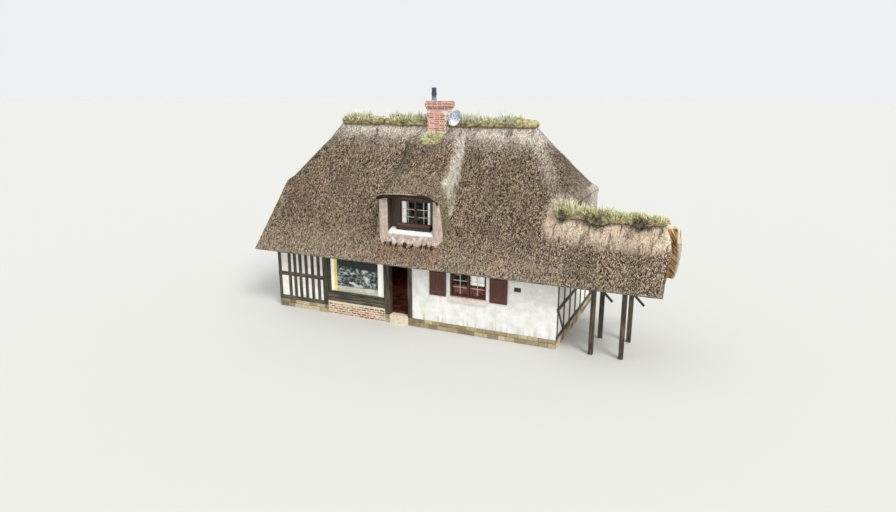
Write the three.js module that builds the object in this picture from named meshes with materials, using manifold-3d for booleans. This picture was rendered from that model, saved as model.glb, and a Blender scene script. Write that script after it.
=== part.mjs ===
// Half-timbered thatched cottage with an open shed under the long end of its roof.
// Millimetres, +Z up. Sizes run from the left edge of the doorway (x), the outer face of
// the front wall (y) and the lowest ground beside the house (z). The outer group moves the
// origin to the ground under the middle of the roof.
import * as THREE from 'three';
import { mergeVertices } from 'three/addons/utils/BufferGeometryUtils.js';
import Module from 'manifold-3d';

const wasm = await Module();
wasm.setup();

// Driving dimensions: walls
const house = { left: -5500, right: 6900, back: 6634, wall: 240, floor: 340, plate: 2720 };
const timberProud = 20;
const plinth = { left: -2970, right: -250, proud: 30, top: 556 };
const doorway = {
  left: 0, right: 820, sill: 362, head: 2440, postLeft: -250, jambRight: 1010, stepProud: 70,
};
const door = {
  width: 788, thick: 45, play: 8, fromHinge: { x: 12, y: 5 },
  handle: { height: 1380, size: 20, reach: 40, inset: 90 },
};
const hinge = {
  x: 816, y: 252, radius: 10, length: 60, heights: [700, 2100], leafPlate: [-1, 8], jambPlate: [-5, 7],
  intoLeaf: 10, intoJamb: 64,
};
const cornerPost = { left: -3230, right: -2970 };
const attic = { above: 30, thick: 150 };

// Driving dimensions: windows
const picture = {
  left: plinth.left, right: plinth.right, bottom: 900, top: house.plate, border: 70, depth: [60, 150],
};
const curtain = { left: [-2955, -2620], right: [-660, -265], depth: [170, 225], above: 5 };
const windowBoard = { across: [-2600, -680], front: 165, height: 320 };
const casement = { left: 2640, right: 4140, bottom: 1490, top: 2500, border: 65, depth: [60, 130] };
const casementSill = { reach: 50, proud: 70, height: 190 };
const slot = { left: 5230, right: 5510, bottom: 1990, top: 2170, border: 35, depth: [80, 130] };
const pane = { thick: 6, pictureThick: 10, hiddenThick: 10, lap: 20 };
const shutter = { width: 700, thick: 42, pier: 150, bottom: 1450, top: 2520 };
const backWindows = [-3400, 2500];
const gableWindow = { width: 900, bottom: 3650, top: 4550, border: 60, depth: 70, setBack: 60 };

// Driving dimensions: thatch
const roof = {
  pitch: 1.288, eaveOut: 650, eaveHeight: 2700, thick: 570, tip: 20, eaveCut: 0.466,
  leftRidge: -4000, rightRidge: 4930, leftHip: 1.328, rightHip: 1.15,
  leftEdge: -5830, rightEdge: 7130, flare: 340, hipRound: 560, hipRoundLeast: 60,
  hipRoundFrom: 5200, crowding: 1.7,
};
const wing = {
  ridgeAt: 950, frontEnd: 10490, ridgeEnd: 10400, backRidgeEnd: 10860, backEaveEnd: 10620, tuck: 60,
};
const cap = { half: 400, height: 240, edge: 50, end: 130, slack: 45, slackReach: 900, slackFade: 300 };
const wingCap = { half: 330, height: 260, edge: 50, crown: 200, start: 1, end: 30 };
const gap = 0.3;

// Driving dimensions: dormer, chimney and shed
const dormer = {
  left: -420, right: 2200, face: 50, edge: -200, edgeHeight: 5230, slope: 0.71, thick: 440,
  arch: 80, shoulder: 850, side: 3.5, lip: 90, cheek: 380, sill: 3600, sillThick: 90, window: 400,
};
const dormerWindow = {
  thick: 70, top: 5160, board: 310, post: 60, pitch: 690, mullion: 55, lightBottom: 4030, lightTop: 5020,
};
const flowerBox = { depth: 240, height: 280, right: 70 };
const apron = { reach: 220, thickBelow: 40, thickAbove: 60 };
const chimney = {
  left: 320, right: 1140, front: 2960, back: 3674, shaft: 8440,
  courses: [{ out: 40, height: 80 }, { out: 75, height: 190 }, { out: 45, height: 60 }],
};
const chimneyTop = chimney.courses.reduce((height, course) => height + course.height, chimney.shaft);
const flue = {
  x: 465, radius: 100, top: 9300, collar: 15, collarHeight: 40, band: 14, bandAt: 255, bandHeight: 35,
};
const dish = {
  x: 1700, y: 2750, z: 8080, radius: 330, depth: 62, thick: 12, lift: 22, turn: -115, tube: 50, wallAt: 3075,
  hub: 45, hubLength: 90, armBehind: 70, plate: { thick: 12, width: 140, height: 220 },
};
const shed = {
  posts: [8160, 9230], size: 160, plateHeight: 250, plateEnd: 10300,
  brace: { size: 70, length: 900, out: 260, down: 330 },
};

const ridgeY = house.back / 2;
const ridgeHeight = roof.eaveHeight + (ridgeY + roof.eaveOut) * roof.pitch;
const wingRidgeHeight = roof.eaveHeight + (wing.ridgeAt + roof.eaveOut) * roof.pitch;
const middle = { x: (roof.leftEdge - roof.flare + wing.backRidgeEnd) / 2, y: ridgeY };
const dormerMiddle = (dormer.left + dormer.right) / 2;

// Finishes
function finish(color, roughness, metalness = 0) {
  return new THREE.MeshStandardMaterial({ color, roughness, metalness });
}
const finishes = {
  thatch: finish(0x76665c, 0.95),
  turf: finish(0x8d8a52, 1),
  lime: finish(0xe9e6dd, 0.85),
  timber: finish(0x4a443a, 0.8),
  redWood: finish(0x5f2f26, 0.6),
  brick: finish(0xa35a48, 0.9),
  stone: finish(0xb3a893, 0.9),
  render: finish(0xc3ada0, 0.9),
  glass: finish(0x6f7f85, 0.08),
  curtain: finish(0xeeeeea, 0.9),
  cream: finish(0xe6dfb4, 0.7),
  iron: finish(0x3b4048, 0.5, 0.6),
  dishGrey: finish(0x8b97a1, 0.45, 0.3),
};

const cottage = new THREE.Group();
cottage.position.set(-middle.x, -middle.y, 0);

function add(name, geometry, material) {
  const mesh = new THREE.Mesh(geometry, material);
  mesh.name = name;
  cottage.add(mesh);
  return mesh;
}

function boxGeometry([x0, x1], [y0, y1], [z0, z1]) {
  const geometry = new THREE.BoxGeometry(x1 - x0, y1 - y0, z1 - z0);
  return geometry.translate((x0 + x1) / 2, (y0 + y1) / 2, (z0 + z1) / 2);
}

function addBox(name, material, across, along, up) {
  return add(name, boxGeometry(across, along, up), material);
}

// Joining and cutting closed solids
function toSolid(geometry) {
  const bare = geometry.clone();
  bare.deleteAttribute('normal');
  bare.deleteAttribute('uv');
  const merged = mergeVertices(bare, 1e-3);
  return new wasm.Manifold(new wasm.Mesh({
    numProp: 3,
    vertProperties: new Float32Array(merged.attributes.position.array),
    triVerts: new Uint32Array(merged.index.array),
  }));
}

function toGeometry(solid) {
  const mesh = solid.getMesh();
  const geometry = new THREE.BufferGeometry();
  geometry.setAttribute('position', new THREE.BufferAttribute(mesh.vertProperties, mesh.numProp));
  geometry.setIndex(new THREE.BufferAttribute(mesh.triVerts, 1));
  return geometry;
}

function joined(...geometries) {
  return toGeometry(geometries.map(toSolid).reduce((whole, piece) => whole.add(piece)));
}

function cut(geometry, ...cutters) {
  return toGeometry(cutters.map(toSolid).reduce((whole, piece) => whole.subtract(piece), toSolid(geometry)));
}

// Outlines drawn on a wall and given its thickness, with rectangular holes right through
const through = 10;

function outline(points) {
  return new THREE.Shape(points.map(([a, b]) => new THREE.Vector2(a, b)));
}

function rectangle({ left, right, bottom, top }) {
  return [[left, bottom], [right, bottom], [right, top], [left, top]];
}

function extrudeAlongY(points, holes, [y0, y1]) {
  const geometry = new THREE.ExtrudeGeometry(outline(points), { depth: y1 - y0, bevelEnabled: false });
  geometry.rotateX(Math.PI / 2).translate(0, y1, 0);
  return cut(geometry, ...holes.map((hole) => boxGeometry(
    [hole.left, hole.right], [y0 - through, y1 + through], [hole.bottom, hole.top])));
}

function extrudeAlongX(points, holes, [x0, x1]) {
  const geometry = new THREE.ExtrudeGeometry(outline(points), { depth: x1 - x0, bevelEnabled: false });
  const turn = new THREE.Matrix4().makeBasis(
    new THREE.Vector3(0, 1, 0), new THREE.Vector3(0, 0, 1), new THREE.Vector3(1, 0, 0));
  geometry.applyMatrix4(turn).translate(x0, 0, 0);
  return cut(geometry, ...holes.map((hole) => boxGeometry(
    [x0 - through, x1 + through], [hole.left, hole.right], [hole.bottom, hole.top])));
}

// Roof surfaces: heights of the thatch over any point of the plan
function softMin(a, b, round) {
  const overlap = Math.max(round - Math.abs(a - b), 0) / round;
  return Math.min(a, b) - overlap * overlap * round / 4;
}

const frontSlope = (y) => roof.eaveHeight + (y + roof.eaveOut) * roof.pitch;
const backSlope = (y) => frontSlope(2 * ridgeY - y);
const leftSlope = (x) => ridgeHeight + (x - roof.leftRidge) * roof.leftHip;
const rightSlope = (x) => ridgeHeight + (roof.rightRidge - x) * roof.rightHip;

function roofTop(x, y) {
  const slope = Math.min(frontSlope(y), backSlope(y));
  const rise = THREE.MathUtils.clamp((slope - roof.hipRoundFrom) / (ridgeHeight - roof.hipRoundFrom), 0, 1);
  const round = roof.hipRoundLeast + roof.hipRound * Math.min(1, 5 * rise, 5 * (1 - rise));
  return softMin(softMin(slope, leftSlope(x), round), rightSlope(x), round);
}

function eaveCut(distance) {
  return roof.eaveHeight - roof.tip - (distance + roof.eaveOut) * roof.eaveCut;
}

function roofUnder(x, y) {
  return Math.max(roofTop(x, y) - roof.thick, eaveCut(y), eaveCut(2 * ridgeY - y));
}

const wingMirror = (y) => 2 * wing.ridgeAt - y;
const wingTop = (x, y) => Math.min(frontSlope(y), frontSlope(wingMirror(y)));
const wingUnder = (x, y) => Math.max(wingTop(x, y) - roof.thick, eaveCut(y), eaveCut(wingMirror(y)));

const dormerLine = (y) => dormer.edgeHeight + (y - dormer.edge) * dormer.slope;

function dormerArch(x) {
  const reach = (x - dormerMiddle) / (dormer.right - dormerMiddle);
  return dormer.arch * reach * reach;
}

function dormerUnder(x, y) {
  const front = Math.max(0, 1 - (y - dormer.edge) / dormer.thick);
  return dormerLine(y) - dormerArch(x) - dormer.thick + (dormer.thick - roof.tip - dormer.lip) * front;
}

function dormerRounded(x, y) {
  const beyond = Math.max(0, Math.abs(x - dormerMiddle) - dormer.shoulder);
  return dormerLine(y) - dormerArch(x) - beyond * beyond * dormer.side / (beyond + dormer.shoulder);
}

const dormerTop = (x, y) => Math.max(dormerRounded(x, y), dormerUnder(x, y) + dormer.lip, roofTop(x, y));

// A closed solid between two height functions over a plan grid of rows and columns
function heightSolid(rows, bottomAt, topAt) {
  const columns = rows[0].length;
  const positions = [];
  for (const heightAt of [bottomAt, topAt]) {
    for (const [x, y] of rows.flat()) positions.push(x, y, heightAt(x, y));
  }
  const layer = rows.length * columns;
  const at = (row, column, top) => (top ? layer : 0) + row * columns + column;
  const triangles = [];
  const quad = (a, b, c, d) => triangles.push(a, b, c, a, c, d);
  for (let row = 0; row + 1 < rows.length; row += 1) {
    for (let column = 0; column + 1 < columns; column += 1) {
      quad(at(row, column, true), at(row, column + 1, true), at(row + 1, column + 1, true),
        at(row + 1, column, true));
      quad(at(row, column, false), at(row + 1, column, false), at(row + 1, column + 1, false),
        at(row, column + 1, false));
    }
    quad(at(row, 0, false), at(row, 0, true), at(row + 1, 0, true), at(row + 1, 0, false));
    quad(at(row, columns - 1, false), at(row + 1, columns - 1, false), at(row + 1, columns - 1, true),
      at(row, columns - 1, true));
  }
  for (let column = 0; column + 1 < columns; column += 1) {
    const last = rows.length - 1;
    quad(at(0, column, false), at(0, column + 1, false), at(0, column + 1, true), at(0, column, true));
    quad(at(last, column, false), at(last, column, true), at(last, column + 1, true),
      at(last, column + 1, false));
  }
  const geometry = new THREE.BufferGeometry();
  geometry.setAttribute('position', new THREE.BufferAttribute(new Float32Array(positions), 3));
  geometry.setIndex(triangles);
  return geometry;
}

function spread(from, to, count) {
  return Array.from({ length: count + 1 }, (_, i) => from + (to - from) * i / count);
}

// Rows run along y, each from its own left end to its own right end, closer together at a hip
const even = (t) => t;
const closeLeft = (t) => t ** roof.crowding;
const closeRight = (t) => 1 - (1 - t) ** roof.crowding;
const closeBoth = (t) => 0.5 - 0.5 * Math.cos(Math.PI * t);

function rowsAlongY(ys, leftAt, rightAt, columns, ease = even) {
  const steps = spread(0, 1, columns).map(ease);
  return ys.map((y) => steps.map((t) => [leftAt(y) + (rightAt(y) - leftAt(y)) * t, y]));
}

// Plan edges of the main roof
const hipFoot = (edge, end, slope) => ridgeY - Math.abs(edge - end) * slope / roof.pitch;
const leftFoot = hipFoot(roof.leftEdge, roof.leftRidge, roof.leftHip);
const rightFoot = hipFoot(roof.rightEdge, roof.rightRidge, roof.rightHip);

function leftEdgeAt(y) {
  if (y > leftFoot) return roof.leftRidge - (ridgeY - y) * roof.pitch / roof.leftHip;
  return roof.leftEdge - roof.flare * (leftFoot - y) / (leftFoot + roof.eaveOut);
}

function rightHipAt(y) {
  return roof.rightRidge + (ridgeY - y) * roof.pitch / roof.rightHip;
}

function rightEdgeAt(y) {
  if (y > rightFoot) return rightHipAt(y);
  return roof.rightEdge + roof.flare * (rightFoot - y) / (rightFoot + roof.eaveOut);
}

function addThatch() {
  const eaveRows = [-roof.eaveOut, -roof.eaveOut / 2];
  const lowRows = [dormer.face, wing.ridgeAt];
  const leftRows = [...eaveRows, ...lowRows, ...spread(leftFoot, ridgeY - gap / 2, 8)];
  const rightRows = [...eaveRows, ...lowRows, ...spread(rightFoot, ridgeY - gap / 2, 8)];
  const backRows = [...eaveRows, ...lowRows, rightFoot, ...spread(leftFoot, ridgeY - gap / 2, 8)]
    .map((y) => 2 * ridgeY - y).reverse();
  const left = rowsAlongY(leftRows, (y) => leftEdgeAt(y) + gap, () => dormer.left - gap, 12, closeLeft);
  add('thatch_front_left', heightSolid(left, roofUnder, roofTop), finishes.thatch);
  const rightLimit = (y) => (y > rightFoot ? rightHipAt(y) - gap : roof.rightEdge - gap);
  const right = rowsAlongY(rightRows, () => dormer.right + gap, rightLimit, 12, closeRight);
  add('thatch_front_right', heightSolid(right, roofUnder, roofTop), finishes.thatch);
  const lower = rowsAlongY([...eaveRows, dormer.face], () => dormer.left, () => dormer.right, 2);
  add('thatch_front_lower', heightSolid(lower, roofUnder, roofTop), finishes.thatch);
  const behind = rowsAlongY(backRows, (y) => leftEdgeAt(2 * ridgeY - y) + gap,
    (y) => rightEdgeAt(2 * ridgeY - y) - gap, 24, closeBoth);
  add('thatch_back', cut(heightSolid(behind, roofUnder, roofTop), chimneyHole()), finishes.thatch);
  addHip('thatch_hip_left', roof.leftEdge, roof.leftRidge - cap.end, leftFoot, roof.leftHip, roof.leftRidge);
  addHip('thatch_hip_right', roof.rightEdge, roof.rightRidge + cap.end, rightFoot, roof.rightHip,
    roof.rightRidge);
}

// A half-hip: rows run from the low edge up to the end of the ridge
function addHip(name, edge, end, foot, slope, ridgeEnd) {
  const rows = spread(edge, end, 8).map((x) => {
    const half = Math.abs(x - ridgeEnd) * slope / roof.pitch - gap;
    const ys = spread(ridgeY - half, ridgeY + half, 10);
    return ys.map((y) => [x, y]);
  });
  const ordered = edge > end ? rows : rows.map((row) => [...row].reverse());
  add(name, heightSolid(ordered, roofUnder, roofTop), finishes.thatch);
}

function addWingThatch() {
  const start = roof.rightEdge + gap / 2;
  const frontEnd = (y) => THREE.MathUtils.mapLinear(
    y, -roof.eaveOut, wing.ridgeAt, wing.frontEnd, wing.ridgeEnd);
  add('thatch_wing_front', heightSolid(
    rowsAlongY([-roof.eaveOut, -roof.eaveOut / 2, wing.ridgeAt - gap / 2], () => start, frontEnd, 4),
    wingUnder, wingTop), finishes.thatch);
  const eave = wingMirror(-roof.eaveOut);
  const tuckAt = wing.ridgeAt + roof.thick / roof.pitch / 2 + wing.tuck;
  const backStart = (y) => (y > tuckAt ? house.right + gap : start);
  const backEnd = (y) => THREE.MathUtils.mapLinear(
    y, wing.ridgeAt, eave, wing.backRidgeEnd, wing.backEaveEnd);
  add('thatch_wing_back', heightSolid(
    rowsAlongY([wing.ridgeAt + gap / 2, tuckAt, tuckAt + 1, eave - roof.eaveOut / 2, eave],
      backStart, backEnd, 4), wingUnder, wingTop), finishes.thatch);
}

// Turf and clay caps laid over the ridges
function addRidgeCaps() {
  const dome = (y, half) => 1 - ((y - ridgeY) / half) ** 2;
  const slack = (x) => {
    const near = Math.min(Math.abs(x - roof.leftRidge), Math.abs(x - roof.rightRidge));
    const overDormer = x > dormer.left && x < dormer.right ? 1 : 0;
    const nearEnd = THREE.MathUtils.clamp((cap.slackReach - near) / cap.slackFade, 0, 1);
    return gap + cap.slack * Math.max(overDormer, nearEnd);
  };
  const seat = (x, y) => Math.max(roofTop(x, y), dormerRounded(x, y)) + slack(x);
  const crown = (x, y) => seat(x, y) + cap.edge + (cap.height - cap.edge) * dome(y, cap.half);
  const ys = spread(ridgeY - cap.half, ridgeY + cap.half, 8);
  const steps = [-cap.end, 0, 100, 250, 450, 700, cap.slackReach];
  const leftSteps = steps.map((step) => roof.leftRidge + step);
  const rightSteps = steps.map((step) => roof.rightRidge - step).reverse();
  const stations = {
    ridge_cap_left: [...leftSteps, ...spread(dormer.left, chimney.left - gap, 4)],
    ridge_cap_right: [...spread(chimney.right + gap, dormer.right, 5), ...rightSteps],
  };
  for (const [name, xs] of Object.entries(stations)) {
    const rows = ys.map((y) => xs.map((x) => [x, y]));
    add(name, heightSolid(rows, seat, crown), finishes.turf);
  }
  addWingCap();
}

function addWingCap() {
  const seat = (x, y) => wingTop(x, y) + gap;
  const crown = (x, y) => {
    const reach = (y - wing.ridgeAt) / wingCap.half;
    const dome = wingRidgeHeight + wingCap.height - wingCap.crown * reach * reach;
    return Math.max(seat(x, y) + wingCap.edge, dome);
  };
  const ys = spread(wing.ridgeAt - wingCap.half, wing.ridgeAt + wingCap.half, 6);
  const rows = rowsAlongY(ys, () => roof.rightEdge + wingCap.start, () => wing.ridgeEnd - wingCap.end, 6);
  add('wing_ridge_cap', heightSolid(rows, seat, crown), finishes.turf);
}

function chimneyHole() {
  return boxGeometry([chimney.left - gap, chimney.right + gap], [chimney.front - gap, chimney.back + gap],
    [0, chimneyTop]);
}

function addChimney() {
  const shaft = boxGeometry([chimney.left, chimney.right], [chimney.front, chimney.back],
    [house.floor, chimneyTop]);
  let low = chimney.shaft;
  const head = chimney.courses.map(({ out, height }) => {
    low += height;
    return boxGeometry([chimney.left - out, chimney.right + out], [chimney.front - out, chimney.back + out],
      [low - height, low]);
  });
  add('chimney_stack', joined(shaft, ...head), finishes.brick);
  const { radius, collar, collarHeight, band, bandAt, bandHeight } = flue;
  const bevel = 5;
  const profile = [
    [0, 0], [radius + collar, 0], [radius + collar, collarHeight], [radius, collarHeight + 2 * bevel],
    [radius, bandAt - bevel], [radius + band, bandAt], [radius + band, bandAt + bandHeight],
    [radius, bandAt + bandHeight + bevel], [radius, flue.top - chimneyTop], [0, flue.top - chimneyTop],
  ];
  const pipe = new THREE.LatheGeometry(profile.map(([r, z]) => new THREE.Vector2(r, z)), 24);
  pipe.rotateX(Math.PI / 2);
  add('flue_pipe', pipe, finishes.iron).position.set(flue.x, (chimney.front + chimney.back) / 2, chimneyTop);
}

// Dish on a cranked arm from the chimney's right face
function addDish() {
  const steps = 8;
  const bowl = (t) => dish.depth * t * t;
  const inner = spread(0, 1, steps).map((t) => new THREE.Vector2(dish.radius * t, bowl(t)));
  const outer = spread(1, 0, steps).map((t) => new THREE.Vector2(dish.radius * t, bowl(t) - dish.thick));
  const shell = new THREE.LatheGeometry([...outer.reverse(), ...inner.reverse()], 32);
  shell.rotateX(Math.PI / 2);
  const turn = new THREE.Group();
  const facing = new THREE.Vector3().setFromSphericalCoords(
    1, THREE.MathUtils.degToRad(90 - dish.lift), THREE.MathUtils.degToRad(dish.turn));
  const normal = new THREE.Vector3(facing.z, facing.x, facing.y);
  turn.quaternion.setFromUnitVectors(new THREE.Vector3(0, 0, 1), normal);
  turn.updateMatrix();
  shell.applyMatrix4(turn.matrix).translate(dish.x, dish.y, dish.z);
  const centre = new THREE.Vector3(dish.x, dish.y, dish.z);
  const back = centre.clone().addScaledVector(normal, -dish.armBehind);
  const hub = new THREE.CylinderGeometry(dish.hub, dish.hub, dish.hubLength, 12).rotateX(Math.PI / 2);
  const hubCentre = centre.clone().addScaledVector(normal, -dish.hubLength / 2);
  hub.applyMatrix4(turn.matrix).translate(...hubCentre.toArray());
  const half = dish.tube / 2;
  const height = [back.z - half, back.z + half];
  const wallFace = chimney.right + gap;
  const arm = boxGeometry([wallFace, back.x + half], [dish.wallAt - half, dish.wallAt + half], height);
  const reach = boxGeometry([back.x - half, back.x + half], [back.y - half, dish.wallAt], height);
  const foot = boxGeometry([wallFace, wallFace + dish.plate.thick],
    [dish.wallAt - dish.plate.width / 2, dish.wallAt + dish.plate.width / 2],
    [back.z - dish.plate.height / 2, back.z + dish.plate.height / 2]);
  add('satellite_dish', joined(shell, hub, arm, reach, foot), finishes.dishGrey);
}

function addBase() {
  const footprint = [
    [house.left, 0], [plinth.left, 0], [plinth.left, house.wall - plinth.proud],
    [plinth.right, house.wall - plinth.proud], [plinth.right, 0], [house.right, 0],
    [house.right, house.back], [house.left, house.back],
  ];
  const slab = new THREE.ExtrudeGeometry(outline(footprint), { depth: house.floor, bevelEnabled: false });
  add('floor_slab', slab, finishes.stone);
  addBox('brick_plinth', finishes.brick, [plinth.left, plinth.right],
    [-plinth.proud, house.wall - plinth.proud], [0, plinth.top]);
  const step = [[-doorway.stepProud, 0], [0, 0], [0, house.floor], [house.wall, house.floor],
    [house.wall, doorway.sill], [-doorway.stepProud, doorway.sill]];
  add('threshold', extrudeAlongX(step, [], [doorway.left, doorway.right]), finishes.stone);
}

// Wall plate with its top bevelled to carry the thatch
function plateProfile(yOuter, inward, size, low) {
  const under = (depth) => frontSlope(depth) - roof.thick - gap;
  return [[yOuter, low], [yOuter + inward * size, low], [yOuter + inward * size, under(size)],
    [yOuter, under(0)]];
}

function addFront() {
  const up = [house.floor, house.plate];
  const proud = [-timberProud, house.wall];
  const inside = house.left + house.wall;
  addBox('front_wall_left', finishes.lime, [inside, cornerPost.left], [0, house.wall], up);
  addBox('corner_post', finishes.timber, [cornerPost.left, cornerPost.right], proud, up);
  addBox('sill_beam', finishes.timber, [plinth.left, plinth.right], proud, [plinth.top, picture.bottom]);
  addBox('door_post', finishes.timber, [doorway.postLeft, doorway.left], proud, up);
  addJamb(up);
  addBox('door_head', finishes.timber, [doorway.left, doorway.right], [0, house.wall],
    [doorway.head, house.plate]);
  const right = { left: doorway.jambRight, right: house.right - house.wall, bottom: up[0], top: up[1] };
  add('front_wall_right', extrudeAlongY(rectangle(right), [casement, slot], [0, house.wall]), finishes.lime);
  add('front_plate', extrudeAlongX(plateProfile(0, 1, house.wall, house.plate), [],
    [inside, house.right - house.wall]), finishes.timber);
}

const backOpening = (left) => ({ ...casement, left, right: left + casement.right - casement.left });

function addBack() {
  const profile = plateProfile(house.back, -1, house.wall, house.floor).reverse();
  const wall = extrudeAlongX(profile, [], [house.left + house.wall, house.right - house.wall]);
  const depth = [house.back - house.wall - through, house.back + through];
  const holes = backWindows.map(backOpening).map((hole) => boxGeometry(
    [hole.left, hole.right], depth, [hole.bottom, hole.top]));
  add('back_wall', cut(wall, ...holes), finishes.lime);
}

// Gable wall: straight sides under the slopes and a curved head under the half-hip
function gableOutline(face) {
  const clear = 45;
  const headFrom = wing.ridgeAt + 80;
  const seat = (y) => [y, frontSlope(y) - roof.thick - gap];
  const head = spread(headFrom, ridgeY, 8).map((y) => [y, roofUnder(face, y) - clear]);
  const side = [[0, house.floor], seat(0), seat(wing.ridgeAt), ...head];
  const mirrored = side.slice(0, -1).reverse().map(([y, z]) => [2 * ridgeY - y, z]);
  return [...side, ...mirrored].reverse();
}

function addGable(name, face, inner) {
  const hole = {
    ...gableWindow, left: ridgeY - gableWindow.width / 2, right: ridgeY + gableWindow.width / 2,
  };
  const span = [Math.min(face, inner), Math.max(face, inner)];
  add(name, extrudeAlongX(gableOutline(face), [hole], span), finishes.lime);
}

// Window frame with one pane hole for each light
function frameGeometry(area, lights) {
  const { border } = area;
  const width = (area.right - area.left - border) / lights;
  const holes = Array.from({ length: lights }, (_, i) => ({
    left: area.left + border + i * width, right: area.left + (i + 1) * width,
    bottom: area.bottom + border, top: area.top - border,
  }));
  return extrudeAlongY(rectangle(area), holes, area.depth);
}

// Pane against the inner face of its frame
function paneGeometry(area, thick) {
  return boxGeometry([area.left + pane.lap, area.right - pane.lap], [area.depth[1], area.depth[1] + thick],
    [area.bottom + pane.lap, area.top - pane.lap]);
}

function addWindows() {
  add('picture_window_frame', frameGeometry(picture, 1), finishes.timber);
  add('picture_window_glass', paneGeometry(picture, pane.pictureThick), finishes.glass);
  for (const side of ['left', 'right']) {
    addBox(`curtain_${side}`, finishes.curtain, curtain[side], curtain.depth,
      [picture.bottom + curtain.above, house.plate - gap]);
  }
  addBox('window_board', finishes.cream, windowBoard.across, [windowBoard.front, house.wall],
    [picture.bottom, picture.bottom + windowBoard.height]);
  add('casement_frame', frameGeometry(casement, 2), finishes.redWood);
  add('casement_glass', paneGeometry(casement, pane.thick), finishes.glass);
  addBox('casement_sill', finishes.render,
    [casement.left - casementSill.reach, casement.right + casementSill.reach],
    [-casementSill.proud, 0], [casement.bottom - casementSill.height, casement.bottom]);
  add('slot_window', glazed(slot, 1), finishes.redWood);
  const shutters = {
    shutter_left: casement.left - shutter.pier - shutter.width,
    shutter_right: casement.right + shutter.pier,
  };
  for (const [name, left] of Object.entries(shutters)) {
    addBox(name, finishes.redWood, [left, left + shutter.width], [-shutter.thick, 0],
      [shutter.bottom, shutter.top]);
  }
}

// One node for a glazed window of the unseen sides: frame and pane together
function glazed(area, lights) {
  const inset = area.border / 2;
  const middleY = (area.depth[0] + area.depth[1]) / 2;
  const sheet = boxGeometry([area.left + inset, area.right - inset],
    [middleY - pane.hiddenThick / 2, middleY + pane.hiddenThick / 2],
    [area.bottom + inset, area.top - inset]);
  return joined(frameGeometry(area, lights), sheet);
}

function addHiddenWindows() {
  const names = ['back_window_left', 'back_window_right'];
  const depth = casement.depth.map((y) => house.back - y).reverse();
  backWindows.forEach((left, i) => {
    add(names[i], glazed({ ...backOpening(left), depth }, 2), finishes.redWood);
  });
  const half = { width: gableWindow.width / 2, depth: gableWindow.depth / 2 };
  const area = { ...gableWindow, left: -half.width, right: half.width, depth: [-half.depth, half.depth] };
  const inFromFace = gableWindow.setBack + half.depth;
  const places = {
    gable_window_left: house.left + inFromFace,
    gable_window_right: house.right - inFromFace,
  };
  for (const [name, x] of Object.entries(places)) {
    const window = add(name, glazed(area, 2), finishes.redWood);
    window.position.set(x, ridgeY, 0);
    window.rotation.z = Math.PI / 2;
  }
}

// Door leaf standing open into the house, hung on two hinges on the right jamb
function addDoor() {
  const near = { x: hinge.x - door.fromHinge.x, y: hinge.y + door.fromHinge.y };
  const leaf = boxGeometry([near.x - door.thick, near.x], [near.y, near.y + door.width],
    [doorway.sill + door.play, doorway.head - door.play]);
  const { height, size, reach, inset } = door.handle;
  const handleY = near.y + door.width - inset;
  const handle = boxGeometry([near.x - door.thick - reach, near.x + reach], [handleY, handleY + size],
    [height, height + size]);
  const knuckles = hinge.heights.flatMap((z) => [
    hingeBarrel(z, z + hinge.length),
    boxGeometry([near.x - hinge.intoLeaf, hinge.x], hinge.leafPlate.map((y) => hinge.y + y),
      [z, z + hinge.length]),
  ]);
  add('door_leaf', joined(leaf, handle, ...knuckles), finishes.timber);
}

function hingeBarrel(z0, z1) {
  const barrel = new THREE.CylinderGeometry(hinge.radius, hinge.radius, z1 - z0, 12);
  return barrel.rotateX(Math.PI / 2).translate(hinge.x, hinge.y, (z0 + z1) / 2);
}

// Right jamb with the fixed half of each hinge
function addJamb(up) {
  const post = boxGeometry([doorway.right, doorway.jambRight], [-timberProud, house.wall], up);
  const pins = hinge.heights.flatMap((z) => [
    hingeBarrel(z - hinge.length, z - gap),
    boxGeometry([hinge.x, hinge.x + hinge.intoJamb], hinge.jambPlate.map((y) => house.wall + y),
      [z - hinge.length, z - gap]),
  ]);
  add('door_jamb', joined(post, ...pins), finishes.timber);
}

function addAtticFloor() {
  const inset = house.wall + gap;
  const low = house.plate + attic.above;
  const boards = boxGeometry([house.left + inset, house.right - inset], [inset, house.back - inset],
    [low, low + attic.thick]);
  add('attic_floor', cut(boards, chimneyHole()), finishes.timber);
}

function addDormer() {
  const inner = { left: dormer.left + dormer.cheek, right: dormer.right - dormer.cheek };
  const ys = [dormer.face + gap, dormer.edge + dormer.thick, 600, 1200, 2000, 2700,
    ridgeY - cap.half, ridgeY - cap.half / 2];
  const cheekTop = (x, y) => dormerUnder(x, y) - 2 * gap;
  const cheekFoot = (x, y) => roofTop(x, y) - roof.thick;
  const cheeks = {
    dormer_cheek_left: [dormer.left, inner.left],
    dormer_cheek_right: [inner.right, dormer.right],
  };
  for (const [name, [from, to]] of Object.entries(cheeks)) {
    add(name, heightSolid(rowsAlongY(ys, () => from, () => to, 2), cheekFoot, cheekTop), finishes.render);
  }
  const slabRows = [dormer.edge, dormer.face, ...ys.slice(1), ridgeY - gap / 2];
  const slab = heightSolid(rowsAlongY(slabRows, () => dormer.left, () => dormer.right, 16),
    dormerUnder, dormerTop);
  add('thatch_dormer', cut(slab, chimneyHole()), finishes.thatch);
  const apronYs = [dormer.face - apron.reach, dormer.face];
  const onThatch = (x, y) => frontSlope(y) + gap;
  const apronTop = (x, y) => onThatch(x, y) + THREE.MathUtils.mapLinear(
    y, apronYs[0], apronYs[1], apron.thickBelow, apron.thickAbove);
  add('dormer_apron', heightSolid(rowsAlongY(apronYs, () => dormer.left, () => dormer.right, 2), onThatch,
    apronTop), finishes.render);
  addDormerWindow(inner);
}

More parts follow.
